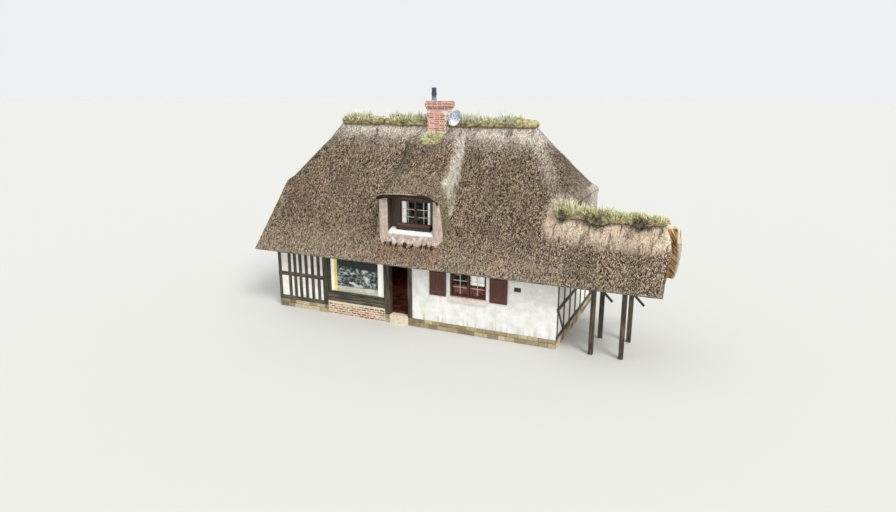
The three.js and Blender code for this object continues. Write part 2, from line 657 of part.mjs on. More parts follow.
function addDormerWindow(inner) {
  const sillTop = dormer.sill + dormer.sillThick;
  addBox('dormer_sill', finishes.lime, [inner.left + gap, inner.right - gap],
    [dormer.face + 5, dormer.window + dormer.sillThick], [dormer.sill, sillTop]);
  const area = { left: inner.left + gap, right: inner.right - gap, bottom: sillTop, top: dormerWindow.top };
  const { board, pitch, mullion, thick, lightBottom, lightTop } = dormerWindow;
  const start = area.left + board + dormerWindow.post;
  const light = (left) => ({ left, right: left + pitch - mullion, bottom: lightBottom, top: lightTop });
  const inside = dormer.window + thick;
  add('dormer_frame', extrudeAlongY(rectangle(area), [light(start), light(start + pitch)],
    [dormer.window, inside]), finishes.redWood);
  addBox('dormer_glass', finishes.glass, [start - pane.lap, start + 2 * pitch - mullion + pane.lap],
    [inside, inside + pane.thick], [lightBottom - pane.lap, lightTop + pane.lap]);
  addBox('flower_box', finishes.redWood, [area.left + board, area.right - flowerBox.right],
    [dormer.window - flowerBox.depth, dormer.window], [sillTop, sillTop + flowerBox.height]);
}

function addShed() {
  const backFace = wingMirror(0);
  const { size, brace } = shed;
  const plateLow = frontSlope(0) - roof.thick - shed.plateHeight;
  shed.posts.forEach((x, i) => {
    const post = boxGeometry([x - size / 2, x + size / 2], [0, size], [0, plateLow]);
    const strut = new THREE.BoxGeometry(brace.size, brace.size, brace.length).rotateY(-Math.PI / 4)
      .translate(x + size / 2 + brace.out, size / 2, plateLow - brace.down);
    const above = boxGeometry([x, x + brace.length], [0, size], [plateLow - gap, plateLow + brace.length]);
    add(`shed_post_front_${i + 1}`, joined(post, cut(strut, above)), finishes.timber);
    addBox(`shed_post_back_${i + 1}`, finishes.timber, [x - size / 2, x + size / 2],
      [backFace - size, backFace], [0, plateLow]);
  });
  const span = [house.right, shed.plateEnd];
  add('shed_plate_front', extrudeAlongX(plateProfile(0, 1, size, plateLow), [], span), finishes.timber);
  add('shed_plate_back', extrudeAlongX(plateProfile(backFace, -1, size, plateLow).reverse(), [], span),
    finishes.timber);
}

addBase();
addFront();
addBack();
addGable('gable_left', house.left, house.left + house.wall);
addGable('gable_right', house.right, house.right - house.wall);
addWindows();
addHiddenWindows();
addDoor();
addAtticFloor();
addThatch();
addWingThatch();
addRidgeCaps();
addDormer();
addChimney();
addDish();
addShed();

const whole = new THREE.Group();
whole.add(cottage);
export default whole;
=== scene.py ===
import math
from itertools import product

import bpy
import numpy as np
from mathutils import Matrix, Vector


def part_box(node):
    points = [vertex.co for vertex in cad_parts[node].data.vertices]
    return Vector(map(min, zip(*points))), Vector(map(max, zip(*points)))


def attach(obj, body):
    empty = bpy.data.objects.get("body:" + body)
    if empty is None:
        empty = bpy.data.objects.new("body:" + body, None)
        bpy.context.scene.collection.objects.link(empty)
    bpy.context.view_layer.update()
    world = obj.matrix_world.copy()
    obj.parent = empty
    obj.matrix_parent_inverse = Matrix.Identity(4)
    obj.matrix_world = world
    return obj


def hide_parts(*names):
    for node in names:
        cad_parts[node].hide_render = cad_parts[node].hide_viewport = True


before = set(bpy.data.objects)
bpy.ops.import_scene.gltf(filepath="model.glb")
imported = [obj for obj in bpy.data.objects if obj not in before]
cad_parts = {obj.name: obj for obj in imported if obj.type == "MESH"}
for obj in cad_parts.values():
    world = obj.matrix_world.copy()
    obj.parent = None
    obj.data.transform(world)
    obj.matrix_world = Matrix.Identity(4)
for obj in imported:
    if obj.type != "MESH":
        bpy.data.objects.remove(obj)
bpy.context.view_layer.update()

print("frame loaded:", len(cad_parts), "pieces")

# House coordinates run from the doorway's left edge (x), the front wall's face (y) and the ground (z)
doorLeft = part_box("door_post")[1].x
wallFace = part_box("front_wall_left")[0].y
houseOrigin = np.array([doorLeft, wallFace, 0.0])


def nodeBox(name):
    low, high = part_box(name)
    return np.array(low) - houseOrigin, np.array(high) - houseOrigin


def linked(name, data):
    # an object with this data, put into the scene
    made = bpy.data.objects.new(name, data)
    bpy.context.scene.collection.objects.link(made)
    return made


# Camera at the photo's place

camera = {"place": (12.288, -21.864, 9.372), "down": 14.73, "left": 23.96, "lens": 26.03, "farthest": 500}


def addCamera():
    lens = bpy.data.cameras.new("camera")
    lens.lens, lens.clip_end = camera["lens"], camera["farthest"]
    eye = linked("camera", lens)
    eye.location = np.array(camera["place"]) + houseOrigin
    eye.rotation_euler = (math.radians(90 - camera["down"]), 0, math.radians(camera["left"]))
    bpy.context.scene.camera = eye


addCamera()


# Shader sockets that can be added and multiplied

class Wire:
    def __init__(self, finish, socket):
        self.finish = finish
        self.socket = socket

    def maths(self, operation, first, second):
        return self.finish.node("ShaderNodeMath", {"operation": operation}, {0: first, 1: second})

    def __add__(self, other):
        return self.maths("ADD", self, other)

    def __sub__(self, other):
        return self.maths("SUBTRACT", self, other)

    def __rsub__(self, other):
        return self.maths("SUBTRACT", other, self)

    def __mul__(self, other):
        return self.maths("MULTIPLY", self, other)

    __radd__ = __add__
    __rmul__ = __mul__

    def between(self, low, high):
        # 0 below low and 1 above high, with a soft step
        return self.finish.node("ShaderNodeMapRange", {"interpolation_type": "SMOOTHSTEP"},
                                {"Value": self, "From Min": low, "From Max": high})

    def stretched(self, across, along, up=1.0):
        return self.finish.node("ShaderNodeVectorMath", {"operation": "MULTIPLY"},
                                {0: self, 1: (across, along, up)})


def tint(code):
    # linear colour of a hex code
    parts = [int(code[i:i + 2], 16) / 255 for i in (1, 3, 5)]
    return tuple(p / 12.92 if p <= 0.04045 else ((p + 0.055) / 1.055) ** 2.4 for p in parts) + (1.0,)


class Finish:
    def __init__(self, name):
        self.material = bpy.data.materials.new(name)
        self.material.use_nodes = True
        self.material.node_tree.nodes.clear()
        self.tree = self.material.node_tree

    def node(self, kind, settings=None, inputs=None, out=0):
        made = self.tree.nodes.new(kind)
        for key, value in (settings or {}).items():
            if key == "stops":
                self.setStops(made.color_ramp, value)
            else:
                setattr(made, key, value)
        for key, value in (inputs or {}).items():
            if isinstance(value, Wire):
                self.tree.links.new(value.socket, made.inputs[key])
            else:
                made.inputs[key].default_value = value
        return Wire(self, made.outputs[out]) if made.outputs else None

    def setStops(self, ramp, stops):
        while len(ramp.elements) < len(stops):
            ramp.elements.new(0.5)
        for element, (place, code) in zip(ramp.elements, stops):
            element.position = place
            element.color = tint(code)

    def place(self):
        return self.node("ShaderNodeTexCoord", out="Object")

    def layer(self, name, out="Fac"):
        return self.node("ShaderNodeAttribute", {"attribute_name": name}, out=out)

    def height(self):
        return self.node("ShaderNodeSeparateXYZ", inputs={0: self.place()}, out="Z")

    def noise(self, vector, scale=1.0, detail=3.0, rough=0.55, warp=0.0):
        return self.node("ShaderNodeTexNoise", inputs={
            "Vector": vector, "Scale": scale, "Detail": detail, "Roughness": rough, "Distortion": warp})

    def grain(self, size, detail=3.0, rough=0.55, warp=0.0):
        # noise over the object, as fine as size says, or as its three values say along the axes
        if isinstance(size, tuple):
            return self.noise(self.place().stretched(*size), 1.0, detail, rough, warp)
        return self.noise(self.place(), size, detail, rough, warp)

    def straws(self, vector):
        # one value for each cell, and so for each reed end
        cell = self.node("ShaderNodeTexVoronoi", inputs={"Vector": vector, "Scale": 1.0}, out="Color")
        return self.node("ShaderNodeSeparateColor", inputs={"Color": cell}, out="Red")

    def ramp(self, value, stops):
        return self.node("ShaderNodeValToRGB", {"stops": stops}, {"Fac": value}, out="Color")

    def mixed(self, factor, first, second, blend="MIX"):
        first, second = (tint(c) if isinstance(c, str) else c for c in (first, second))
        return self.node("ShaderNodeMix", {"data_type": "RGBA", "blend_type": blend},
                         {0: factor, 6: first, 7: second}, out=2)

    def done(self, color, roughness, relief=None, depth=0.01, specular=0.5, **fixed):
        inputs = {"Base Color": tint(color) if isinstance(color, str) else color, "Roughness": roughness,
                  "Specular IOR Level": specular}
        if relief is not None:
            bump = {"Height": relief, "Distance": depth}
            inputs["Normal"] = self.node("ShaderNodeBump", inputs=bump, out="Normal")
        inputs.update({key.replace("_", " "): value for key, value in fixed.items()})
        shader = self.node("ShaderNodeBsdfPrincipled", inputs=inputs, out="BSDF")
        self.node("ShaderNodeOutputMaterial", inputs={"Surface": shader})
        return self.material


# Finishes of this cottage

def thatchFinish():
    # flow runs across and down the slope, the other layers say where the reed weathered and where shade and
    # light are painted
    f = Finish("weathered_reed")
    flow = f.layer("flow", "Vector")
    strands = f.noise(flow.stretched(26, 13), detail=2, rough=0.5)
    specks = f.noise(flow.stretched(36, 31, 3), detail=1, rough=0.5)
    straws = f.straws(flow.stretched(34, 17, 3))
    patches = f.noise(flow.stretched(0.9, 0.6), detail=4, rough=0.6)
    drifts = f.noise(flow.stretched(3.4, 0.9), detail=4, rough=0.6)
    streaks = f.noise(flow.stretched(7, 1.3), detail=3, rough=0.6)
    hues = f.noise(flow.stretched(1.2, 0.9), detail=3, rough=0.5)
    tone = strands * 0.3 + specks * 0.4 + straws * 0.14 + 0.079
    color = f.ramp(tone, [(0.41, "#1a1310"), (0.465, "#3c2e26"), (0.50, "#5c493b"), (0.535, "#876f5a"),
                          (0.585, "#ddc8aa")])
    color = f.mixed(patches.between(0.42, 0.62) * 0.38, color, "#473a33")
    color = f.mixed(drifts.between(0.52, 0.68) * 0.34, color, "#97836f")
    color = f.mixed(f.layer("shadow") * 0.8, color, "#1d1612")
    color = f.mixed(f.layer("bright") * 0.8, color, "#dfcdb6")
    color = f.mixed(f.layer("faded") * tone.between(0.40, 0.56) * 0.35, color, "#c6b39d")
    color = f.mixed(hues.between(0.50, 0.66), color, "#fcfff6", "MULTIPLY")
    color = f.mixed(1 - hues.between(0.34, 0.50), color, "#fffafa", "MULTIPLY")
    # bleached reed, and painted highlights on the rims that catch the light
    pale = f.layer("pale") * drifts.between(0.25, 0.52) * (tone.between(0.42, 0.54) * 0.75 + 0.25)
    color = f.mixed(pale, color, "#ebe1d4")
    tan = f.layer("tan") * streaks.between(0.30, 0.52) * (tone.between(0.42, 0.54) * 0.6 + 0.4)
    color = f.mixed(tan, color, "#ead6bb")
    color = f.mixed(f.layer("moss") * strands.between(0.35, 0.6) * 0.7, color, "#aca574")
    color = f.mixed(f.layer("rust") * specks.between(0.44, 0.58) * 0.5, color, "#8b583c")
    # painted shade under the eaves, in the fold left of the dormer and under its brow; darker in a broad
    # field right of the dormer
    color = f.mixed(f.layer("dark") * 0.75, color, "#2b231d")
    return f.done(color, 0.95, strands * 0.5 + specks * 0.6, 0.04, specular=0.15)


def undersideFinish():
    f = Finish("golden_reed_underside")
    flow = f.layer("flow", "Vector")
    strands = f.noise(flow.stretched(17, 1.6), detail=4, rough=0.6)
    patches = f.noise(flow.stretched(1.5, 1.2), detail=3)
    color = f.ramp(strands, [(0.38, "#3f2b18"), (0.47, "#856439"), (0.55, "#bd9860"), (0.66, "#ecd4a4")])
    color = f.mixed(patches.between(0.45, 0.65) * 0.5, color, "#6d4a30")
    # painted highlight on edges that catch the light
    color = f.mixed(f.layer("pale") * (strands.between(0.3, 0.5) * 0.3 + 0.6), color, "#f6e8d2")
    return f.done(color, 0.9, strands, 0.02, specular=0.2)


def turfFinish():
    f = Finish("clay_and_turf")
    clods = f.grain(8, 5, 0.65)
    specks = f.grain(34, 3, 0.7)
    color = f.ramp(clods * 0.55 + specks * 0.45, [(0.38, "#4d3d29"), (0.46, "#8d7754"), (0.53, "#bfaa85"),
                                                  (0.62, "#efe6cd")])
    color = f.mixed(f.layer("moss") * clods.between(0.42, 0.56) * 0.7, color, "#b9b684")
    # painted shade under the turf roll and round the moss clump, with the dark hanging clods
    color = f.mixed(f.layer("dark") * (0.45 + specks * 0.9), color, "#2e2d24")
    return f.done(color, 0.97, clods * 0.5 + specks * 0.5, 0.03, specular=0.1)


def grassFinish(name, root, middle, tip, shade="#6e7238", sheen="#f9f6e6"):
    f = Finish(name)
    color = f.ramp(f.layer("tip"), [(0.0, root), (0.35, middle), (0.75, tip)])
    color = f.mixed(f.layer("shade") * 0.75, color, shade)
    streak = f.grain((60, 60, 8), 2)
    return f.done(f.mixed(streak * 0.25, color, sheen), 0.8, streak, 0.002, specular=0.3)


def limeFinish():
    f = Finish("lime_wash")
    runs = f.grain((6, 6, 0.5), 5, 0.6)
    trowel = f.grain(3.5, 5, 0.6)
    grain = f.grain(60, 3, 0.6)
    low = 1 - f.height().between(0.3, 0.75)
    color = f.ramp(trowel, [(0.35, "#e4e2d9"), (0.5, "#f0efe9"), (0.65, "#f9f8f5")])
    color = f.mixed(runs.between(0.54, 0.78) * 0.4, color, "#c5c2b6")
    color = f.mixed(low * runs.between(0.42, 0.7) * 0.6, color, "#a9a28c")
    return f.done(color, 0.85 + grain * 0.1, trowel * 0.7 + grain * 0.15, 0.02, specular=0.25)


def timberFinish(name, stretch, dark, body, light):
    # stretch is small along the grain
    f = Finish(name)
    grain = f.grain(stretch, 6, 0.62, 0.4)
    splits = f.grain(tuple(s * 2.6 for s in stretch), 3, 0.5)
    weather = f.grain(1.7, 3, 0.5)
    color = f.ramp(grain, [(0.36, dark), (0.5, body), (0.66, light)])
    color = f.mixed(splits.between(0.6, 0.68) * 0.7, color, "#15120e")
    color = f.mixed(weather.between(0.45, 0.7) * 0.3, color, light)
    return f.done(color, 0.72 + grain * 0.2, grain * 0.6 - splits.between(0.6, 0.68) * 0.5, 0.008,
                  specular=0.3)


def paintedWood(name, stretch, body, worn):
    f = Finish(name)
    grain = f.grain(stretch, 5, 0.6, 0.3)
    wear = f.grain(5, 5, 0.65)
    color = f.mixed(grain.between(0.5, 0.7) * 0.45, body, worn)
    color = f.mixed(wear.between(0.6, 0.75) * 0.5, color, worn)
    return f.done(color, 0.5 + wear * 0.25, grain, 0.003, specular=0.4)


def brickFinish(name, stops, wash):
    f = Finish(name)
    pits = f.grain(38, 4, 0.7)
    cloud = f.grain(9, 4, 0.6)
    color = f.ramp(f.layer("shade") * 0.7 + cloud * 0.3, stops)
    color = f.mixed(pits.between(0.55, 0.7) * 0.4, color, "#5a3328")
    color = f.mixed(f.layer("wash") * cloud.between(0.32, 0.6), color, wash)
    return f.done(color, 0.82 + pits * 0.15, pits * 0.7 + cloud * 0.3, 0.006, specular=0.25)


def roughFinish(name, stops, scale=14.0, depth=0.012):
    # mortar, stone and rendered surfaces
    f = Finish(name)
    lumps = f.grain(scale, 5, 0.6)
    sand = f.grain(scale * 6, 3, 0.6)
    stain = f.grain(scale * 0.16, 4, 0.6)
    color = f.ramp(lumps * 0.6 + stain * 0.4, stops)
    return f.done(color, 0.88 + sand * 0.1, lumps * 0.6 + sand * 0.4, depth, specular=0.2)


def stoneFinish():
    f = Finish("rough_stone")
    lumps = f.grain(11, 5, 0.65)
    color = f.ramp(f.layer("shade") * 0.6 + lumps * 0.4, [(0.25, "#7d705a"), (0.5, "#a89878"),
                                                         (0.75, "#cdc0a2")])
    return f.done(color, 0.9, lumps, 0.02, specular=0.2)


def renderFinish(name, dark, body, light):
    # fibrous mortar over the cut reed beside the dormer
    f = Finish(name)
    fibres = f.grain((34, 34, 3.5), 5, 0.62)
    blotch = f.grain(6, 4, 0.6)
    color = f.ramp(fibres * 0.6 + blotch * 0.4, [(0.36, dark), (0.5, body), (0.64, light)])
    return f.done(color, 0.92, fibres, 0.02, specular=0.2)


def glassFinish():
    # clear, with a painted reflection mottled over it where its layer says so, and the eave's painted dark
    # reflection
    f = Finish("window_glass")
    ripple = f.grain(2.2, 2, 0.5)
    bloom = f.grain((7.5, 7.5, 11), 4, 0.65)
    broad = f.grain((1.3, 1.3, 2.6), 3, 0.5)
    blocks = f.grain((2.1, 2.1, 5.5), 2, 0.4)
    reflectionMask = f.layer("bloom")
    color = f.ramp(bloom * 0.75 + broad * 0.25, [(0.39, "#0d1312"), (0.45, "#2b3633"), (0.51, "#616d69"),
                                                 (0.57, "#a0aaa5"), (0.65, "#e9ecea")])
    color = f.mixed(blocks.between(0.64, 0.68) * 0.85, color, "#eef2f3")
    color = f.mixed(f.layer("dark") * (bloom * 0.4 + 0.8), color, "#08120a")
    alpha = 0.10 + reflectionMask * (bloom.between(0.36, 0.56) * 0.25 + 0.6)
    return f.done(color, 0.03 + bloom * 0.05, ripple, 0.004, Alpha=alpha)


def darkPaneFinish():
    # panes of the rooms that are not furnished, dark as painted shade of the room, with a painted reflection
    # mottled on them
    f = Finish("dark_window_glass")
    bloom = f.grain(4, 5, 0.65, 0.6)
    color = f.ramp(bloom, [(0.4, "#141817"), (0.55, "#2d3534"), (0.7, "#66706f")])
    return f.done(color, 0.04 + bloom * 0.08, bloom, 0.002, Coat_Weight=0.3)


def clothFinish(name, body, shade, glow=0.0):
    # glow stands for the daylight that comes through thin cloth
    f = Finish(name)
    weave = f.grain((380, 380, 60), 2)
    runs = f.grain((16, 16, 0.8), 3)
    color = f.mixed(runs.between(0.45, 0.7) * 0.5, body, shade)
    return f.done(color, 0.85 + weave * 0.1, weave, 0.001, Sheen_Weight=0.25, Sheen_Roughness=0.5,
                  Emission_Color=color, Emission_Strength=glow)


def metalFinish(name, body, worn, metallic, light=None, heights=(0.0, 1.0), size=26):
    # light takes over below a height
    f = Finish(name)
    spots = f.grain(size, 5, 0.65)
    broad = f.grain((3, 3, 1.2), 3)
    color = f.mixed(spots.between(0.48, 0.56) * 0.8, body, worn)
    color = f.mixed(broad.between(0.5, 0.75) * 0.3, color, worn)
    if light:
        color = f.mixed(1 - (f.height() + spots * 0.3 - 0.15).between(*heights), color, light)
    return f.done(color, 0.38 + spots * 0.3, spots, 0.001, Metallic=metallic)


finishes = {
    "thatch": thatchFinish(),
    "underside": undersideFinish(),
    "turf": turfFinish(),
    "dryGrass": grassFinish("dry_grass", "#786531", "#d6cb8b", "#fffde4"),
    "silverGrass": grassFinish("silvery_grass", "#5f5f36", "#d2d4ac", "#ffffff", "#6d7044"),
    "greenGrass": grassFinish("pale_green_grass", "#6f6d30", "#bdbc6c", "#f4f2bd"),
    "darkReed": grassFinish("dark_reed", "#1f1813", "#32261d", "#4d3c2e", "#1f1813", "#4d3c2e"),
    "darkMoss": grassFinish("dark_moss", "#2b2c21", "#505140", "#a3a58c", "#23241b", "#b9bba4"),
    "lime": limeFinish(),
    "upright": timberFinish("weathered_oak_upright", (26, 26, 1.6), "#28231b", "#4d463b", "#736b5b"),
    "level": timberFinish("weathered_oak_level", (1.6, 26, 26), "#2a271e", "#504b3e", "#787260"),
    "deep": timberFinish("weathered_oak_across", (26, 1.6, 26), "#261f18", "#4a4137", "#6e6455"),
    "redUpright": paintedWood("red_brown_stain_upright", (30, 30, 1.8), "#58342a", "#8a5f4f"),
    "redLevel": paintedWood("red_brown_stain_level", (1.8, 30, 30), "#5a3a2f", "#8b6a5a"),
    "boxWood": paintedWood("flower_box_stain", (1.8, 30, 30), "#3a2b26", "#62504a"),
    "greyBoard": paintedWood("dormer_board_stain", (30, 30, 1.8), "#4a3c34", "#7d6d62"),
    "creamBar": paintedWood("cream_glazing_paint", (8, 8, 8), "#e6d9c2", "#bba98c"),
    "cream": paintedWood("cream_sill_paint", (1.8, 30, 30), "#f5f2dc", "#d9d2ae"),
    "brick": brickFinish("salmon_brick", [(0.2, "#8c4030"), (0.42, "#ae5a44"), (0.62, "#c9785f"),
                                          (0.82, "#dfa896")], "#f6eae3"),
    "oldBrick": brickFinish("old_red_brick", [(0.15, "#5b352b"), (0.4, "#85503f"), (0.65, "#a26a55"),
                                              (0.85, "#c39c86")], "#dccdb0"),
    "paleMortar": roughFinish("pale_mortar", [(0.35, "#cdbb9f"), (0.5, "#e4d8c0"), (0.65, "#f3ebda")]),
    "pinkMortar": roughFinish("pink_mortar", [(0.35, "#d6bbb0"), (0.5, "#ead8ce"), (0.65, "#f5ebe5")]),
    "stone": stoneFinish(),
    "cheek": renderFinish("dormer_side_render", "#8f7f73", "#bfae9f", "#dccdc0"),
    "apron": renderFinish("dormer_apron_render", "#8a746a", "#b9a599", "#ece2dc"),
    "glass": glassFinish(),
    "darkPane": darkPaneFinish(),
    "curtain": clothFinish("white_cotton", "#fdfdf8", "#e3e8e0", 0.34),
    "yellowCloth": clothFinish("yellow_cotton", "#f6e592", "#dcc264", 0.34),
    "redCloth": clothFinish("red_cotton", "#8f3527", "#5f2118", 0.1),
    "tile": brickFinish("red_floor_tile", [(0.2, "#562619"), (0.5, "#783826"), (0.8, "#935441")], "#783826"),
    "iron": metalFinish("dark_enamel", "#3b4350", "#5f6772", 0.5, "#8a94a3", (8.86, 8.98)),
    "blackIron": metalFinish("black_iron", "#1d1c1b", "#4a3a30", 0.6),
    # the dish's lighter lower part is a painted reflection of the sky
    "dish": metalFinish("grey_powder_coat", "#c3d0d8", "#4a6179", 0.1, "#f0f3f3", (7.94, 8.12), 15),
    "soil": roughFinish("dry_soil", [(0.35, "#3a2b20"), (0.5, "#59442f"), (0.65, "#6f593f")], 30),
}
print("finishes made:", len(finishes))


# Mesh helpers

def way(value, start, end):
    # how far a value is on its way from start to end, held between 0 and 1
    return np.clip((value - start) / (end - start), 0, 1)


def plan(points):
    return points[:, 0], points[:, 1]


def lumps(points, size, seed=0):
    # smooth random values from -1 to 1, one lump about every size metres
    grid = np.asarray(points) / size + np.array([17.3, 5.1, 9.7]) * (seed + 1)
    cell = np.floor(grid).astype(np.int64)
    part = grid - cell
    part = part * part * (3 - 2 * part)
    total = np.zeros(len(grid))
    for corner in product((0, 1), repeat=3):
        index = cell + corner
        mixed = (index[:, 0] * 73856093) ^ (index[:, 1] * 19349663) ^ (index[:, 2] * 83492791)
        value = (mixed * 2654435761 % 4294967296) / 4294967296.0
        total += value * np.prod(np.where(corner, part, 1 - part), axis=1)
    return total * 2 - 1


def uneven(points, *waves):
    # each wave has a height, the size of its lumps and a seed
    return sum(height * lumps(points, size, seed) for height, size, seed in waves)


def gridFaces(rows, columns, start=0):
    at = start + np.arange(rows * columns).reshape(rows, columns)
    return np.stack([at[:-1, :-1], at[:-1, 1:], at[1:, 1:], at[1:, :-1]], -1).reshape(-1, 4)


def makePiece(name, points, faces, finish, slot, replaces=(), body="house", smooth=True, layers=None):
    # layers are values for each point, which the finish reads by name
    mesh = bpy.data.meshes.new(name)
    faces = faces.tolist() if isinstance(faces, np.ndarray) else faces
    mesh.from_pydata((np.asarray(points) + houseOrigin).tolist(), [], faces)
    for layer, values in (layers or {}).items():
        values = np.asarray(values, np.float32)
        flat = values.ndim == 1
        data = mesh.attributes.new(layer, "FLOAT" if flat else "FLOAT_VECTOR", "POINT").data
        data.foreach_set("value" if flat else "vector", values.ravel())
    mesh.polygons.foreach_set("use_smooth", [smooth] * len(mesh.polygons))
    mesh.materials.append(finishes[finish])
    mesh.update()
    piece = linked(name, mesh)
    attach(piece, body)
    if replaces:
        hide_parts(*replaces)
    return piece


def chamferedCube():
    # three points at each corner, one on the face across each axis, and the faces between all of them
    corners = list(product((-1, 1), repeat=3))
    at = {(corner, axis): 3 * i + axis for i, corner in enumerate(corners) for axis in range(3)}
    signs = np.repeat(np.array(corners, float), 3, axis=0)
    full = np.tile(np.eye(3, dtype=bool), (8, 1))
    faces = [[at[corner, axis] for axis in range(3)] for corner in corners]
    for axis in range(3):
        first, second = (a for a in range(3) if a != axis)

        def corner(sign, one, two):
            place = {axis: sign, first: one, second: two}
            return place[0], place[1], place[2]

        for sign in (-1, 1):
            faces.append([at[corner(sign, *pair), axis] for pair in ((-1, -1), (1, -1), (1, 1), (-1, 1))])
        for pair in product((-1, 1), repeat=2):
            near, far = corner(-1, *pair), corner(1, *pair)
            faces.append([at[near, first], at[far, first], at[far, second], at[near, second]])
    shape = signs * np.where(full, 1.0, 0.8)
    for face in faces:
        a, b, c = shape[face[:3]]
        if np.dot(np.cross(b - a, c - b), shape[face].mean(0)) < 0:
            face.reverse()
    return signs, full, faces


cubeSigns, cubeFull, cubeFaces = chamferedCube()


def unit(vector):
    return vector / np.linalg.norm(vector)


class Pile:
    # many small shapes gathered into one mesh
    def __init__(self, seed=1):
        self.points, self.faces, self.layers = [], [], {}
        self.random = np.random.default_rng(seed)

    def add(self, points, faces, **layers):
        start = sum(len(p) for p in self.points)
        self.points.append(points)
        self.faces += [[start + i for i in face] for face in faces]
        for key, value in layers.items():
            self.layers.setdefault(key, []).append(np.full(len(points), value))

    def box(self, low, high, bevel=0.004, **layers):
        low, high = np.asarray(low, float), np.asarray(high, float)
        half = (high - low) / 2
        bevel = min(bevel, half.min() * 0.8)
        self.add(cubeSigns * (half - np.where(cubeFull, 0.0, bevel)) + (high + low) / 2, cubeFaces, **layers)

    def bar(self, start, end, width, depth, out, wobble, bevel=0.008):
        # a squared timber between two points, with its width across and its depth along out
        start, end = np.asarray(start, float), np.asarray(end, float)
        along = unit(end - start)
        side = unit(np.cross(along, out))
        out = np.cross(side, along)
        # eight corners of a section: across, outward, and 1 where the bevel takes from the width
        across, outward, inset = np.array([(-1, -1, 0), (-1, 1, 0), (-1, 1, 1), (1, 1, 1),
                                           (1, 1, 0), (1, -1, 0), (1, -1, 1), (-1, -1, 1)]).T
        w, d = across * (width / 2 - bevel * inset), outward * (depth / 2 - bevel * (1 - inset))
        length = np.linalg.norm(end - start)
        rings = []
        for t in np.linspace(0, length, max(2, int(length / 0.25) + 1)):
            shift = self.random.uniform(-wobble, wobble, (8, 2))
            rings.append(start + along * t + np.outer(w + shift[:, 0], side)
                         + np.outer(d + shift[:, 1] * (outward > 0), out))
        self.loft(rings)

    def rod(self, points, radius, sides=8):
        # a round rod through the points
        points = np.asarray(points)
        angles = np.linspace(0, 2 * math.pi, sides, endpoint=False)
        rings = []
        for i, point in enumerate(points):
            along = unit(points[min(i + 1, len(points) - 1)] - points[max(i - 1, 0)])
            side = unit(np.cross(along, (0.31, 0.17, 0.93)))
            up = np.cross(side, along)
            rings.append(point + radius * (np.outer(np.cos(angles), side) - np.outer(np.sin(angles), up)))
        self.loft(rings)

    def loft(self, rings):
        # a skin over rings of points, closed at both ends
        at = np.arange(len(rings) * len(rings[0])).reshape(len(rings), -1)
        following = np.roll(at, -1, axis=1)
        sides = np.stack([at[:-1], following[:-1], following[1:], at[1:]], -1).reshape(-1, 4)
        self.add(np.concatenate(rings), [*sides.tolist(), at[0, ::-1].tolist(), at[-1].tolist()])

    def turned(self, quarters, place):
        # turns everything by quarter turns about z and then moves it to a place over the plan
        c, s = round(math.cos(quarters * math.pi / 2)), round(math.sin(quarters * math.pi / 2))
        self.points = [p @ np.array([[c, s, 0], [-s, c, 0], [0, 0, 1]]) + (*place, 0) for p in self.points]

    def piece(self, name, finish, slot, smooth=False, **options):
        layers = {key: np.concatenate(values) for key, values in self.layers.items()}
        makePiece(name, np.concatenate(self.points), self.faces, finish, slot, smooth=smooth, layers=layers,
                  **options)


# Roof surfaces, the same as the frame's: heights of the thatch over any point of the plan

roof = {
    "pitch": 1.288, "eaveOut": 0.65, "eaveHeight": 2.7, "thick": 0.57, "tip": 0.02, "eaveCut": 0.466,
    "leftRidge": -4.0, "rightRidge": 4.93, "leftHip": 1.328, "rightHip": 1.15,
    "leftEdge": -5.83, "rightEdge": 7.13, "flare": 0.34, "ridgeY": 3.317,
    "hipRound": 0.56, "hipRoundLeast": 0.06, "hipRoundFrom": 5.2,
}
wing = {"ridgeAt": 0.95, "frontEnd": 10.53, "ridgeEnd": 10.30, "frontBulge": 0.2,
        "backRidgeEnd": 10.78, "backEaveEnd": 10.50, "backBulge": 0.14, "corner": 0.45, "cornerTuck": 0.3}
dormer = {
    "left": -0.42, "right": 2.2, "face": 0.05, "edge": -0.2, "edgeHeight": 5.23, "slope": 0.71,
    "thick": 0.44, "arch": 0.08, "shoulder": 0.85, "side": 3.5, "lip": 0.09, "flank": 9.0, "blend": 0.12,
    "head": 0.085, "headReach": 0.35,
}
ridgeY = roof["ridgeY"]
shedRidge = wing["ridgeAt"]
ridgeHeight = roof["eaveHeight"] + (ridgeY + roof["eaveOut"]) * roof["pitch"]
dormerMiddle = (dormer["left"] + dormer["right"]) / 2
dormerHalf = (dormer["right"] - dormer["left"]) / 2


def softMin(a, b, reach):
    overlap = np.maximum(reach - np.abs(a - b), 0) / reach
    return np.minimum(a, b) - overlap ** 2 * reach / 4


def softMax(a, b, reach):
    return -softMin(-a, -b, reach)


def frontSlope(y):
    return roof["eaveHeight"] + (y + roof["eaveOut"]) * roof["pitch"]


def mainTop(x, y):
    slope = np.minimum(frontSlope(y), frontSlope(2 * ridgeY - y))
    rise = way(slope, roof["hipRoundFrom"], ridgeHeight)
    reach = roof["hipRoundLeast"] + roof["hipRound"] * np.minimum(1, np.minimum(5 * rise, 5 * (1 - rise)))
    left = ridgeHeight + (x - roof["leftRidge"]) * roof["leftHip"]
    right = ridgeHeight + (roof["rightRidge"] - x) * roof["rightHip"]
    return softMin(softMin(slope, left, reach), right, reach)


def eaveCut(distance):
    return roof["eaveHeight"] - roof["tip"] - (distance + roof["eaveOut"]) * roof["eaveCut"]


def mainUnder(x, y):
    return np.maximum(mainTop(x, y) - roof["thick"], np.maximum(eaveCut(y), eaveCut(2 * ridgeY - y)))


def shedFront(x, y):
    return frontSlope(y) + x * 0


def shedBack(x, y):
    return frontSlope(2 * shedRidge - y) + x * 0


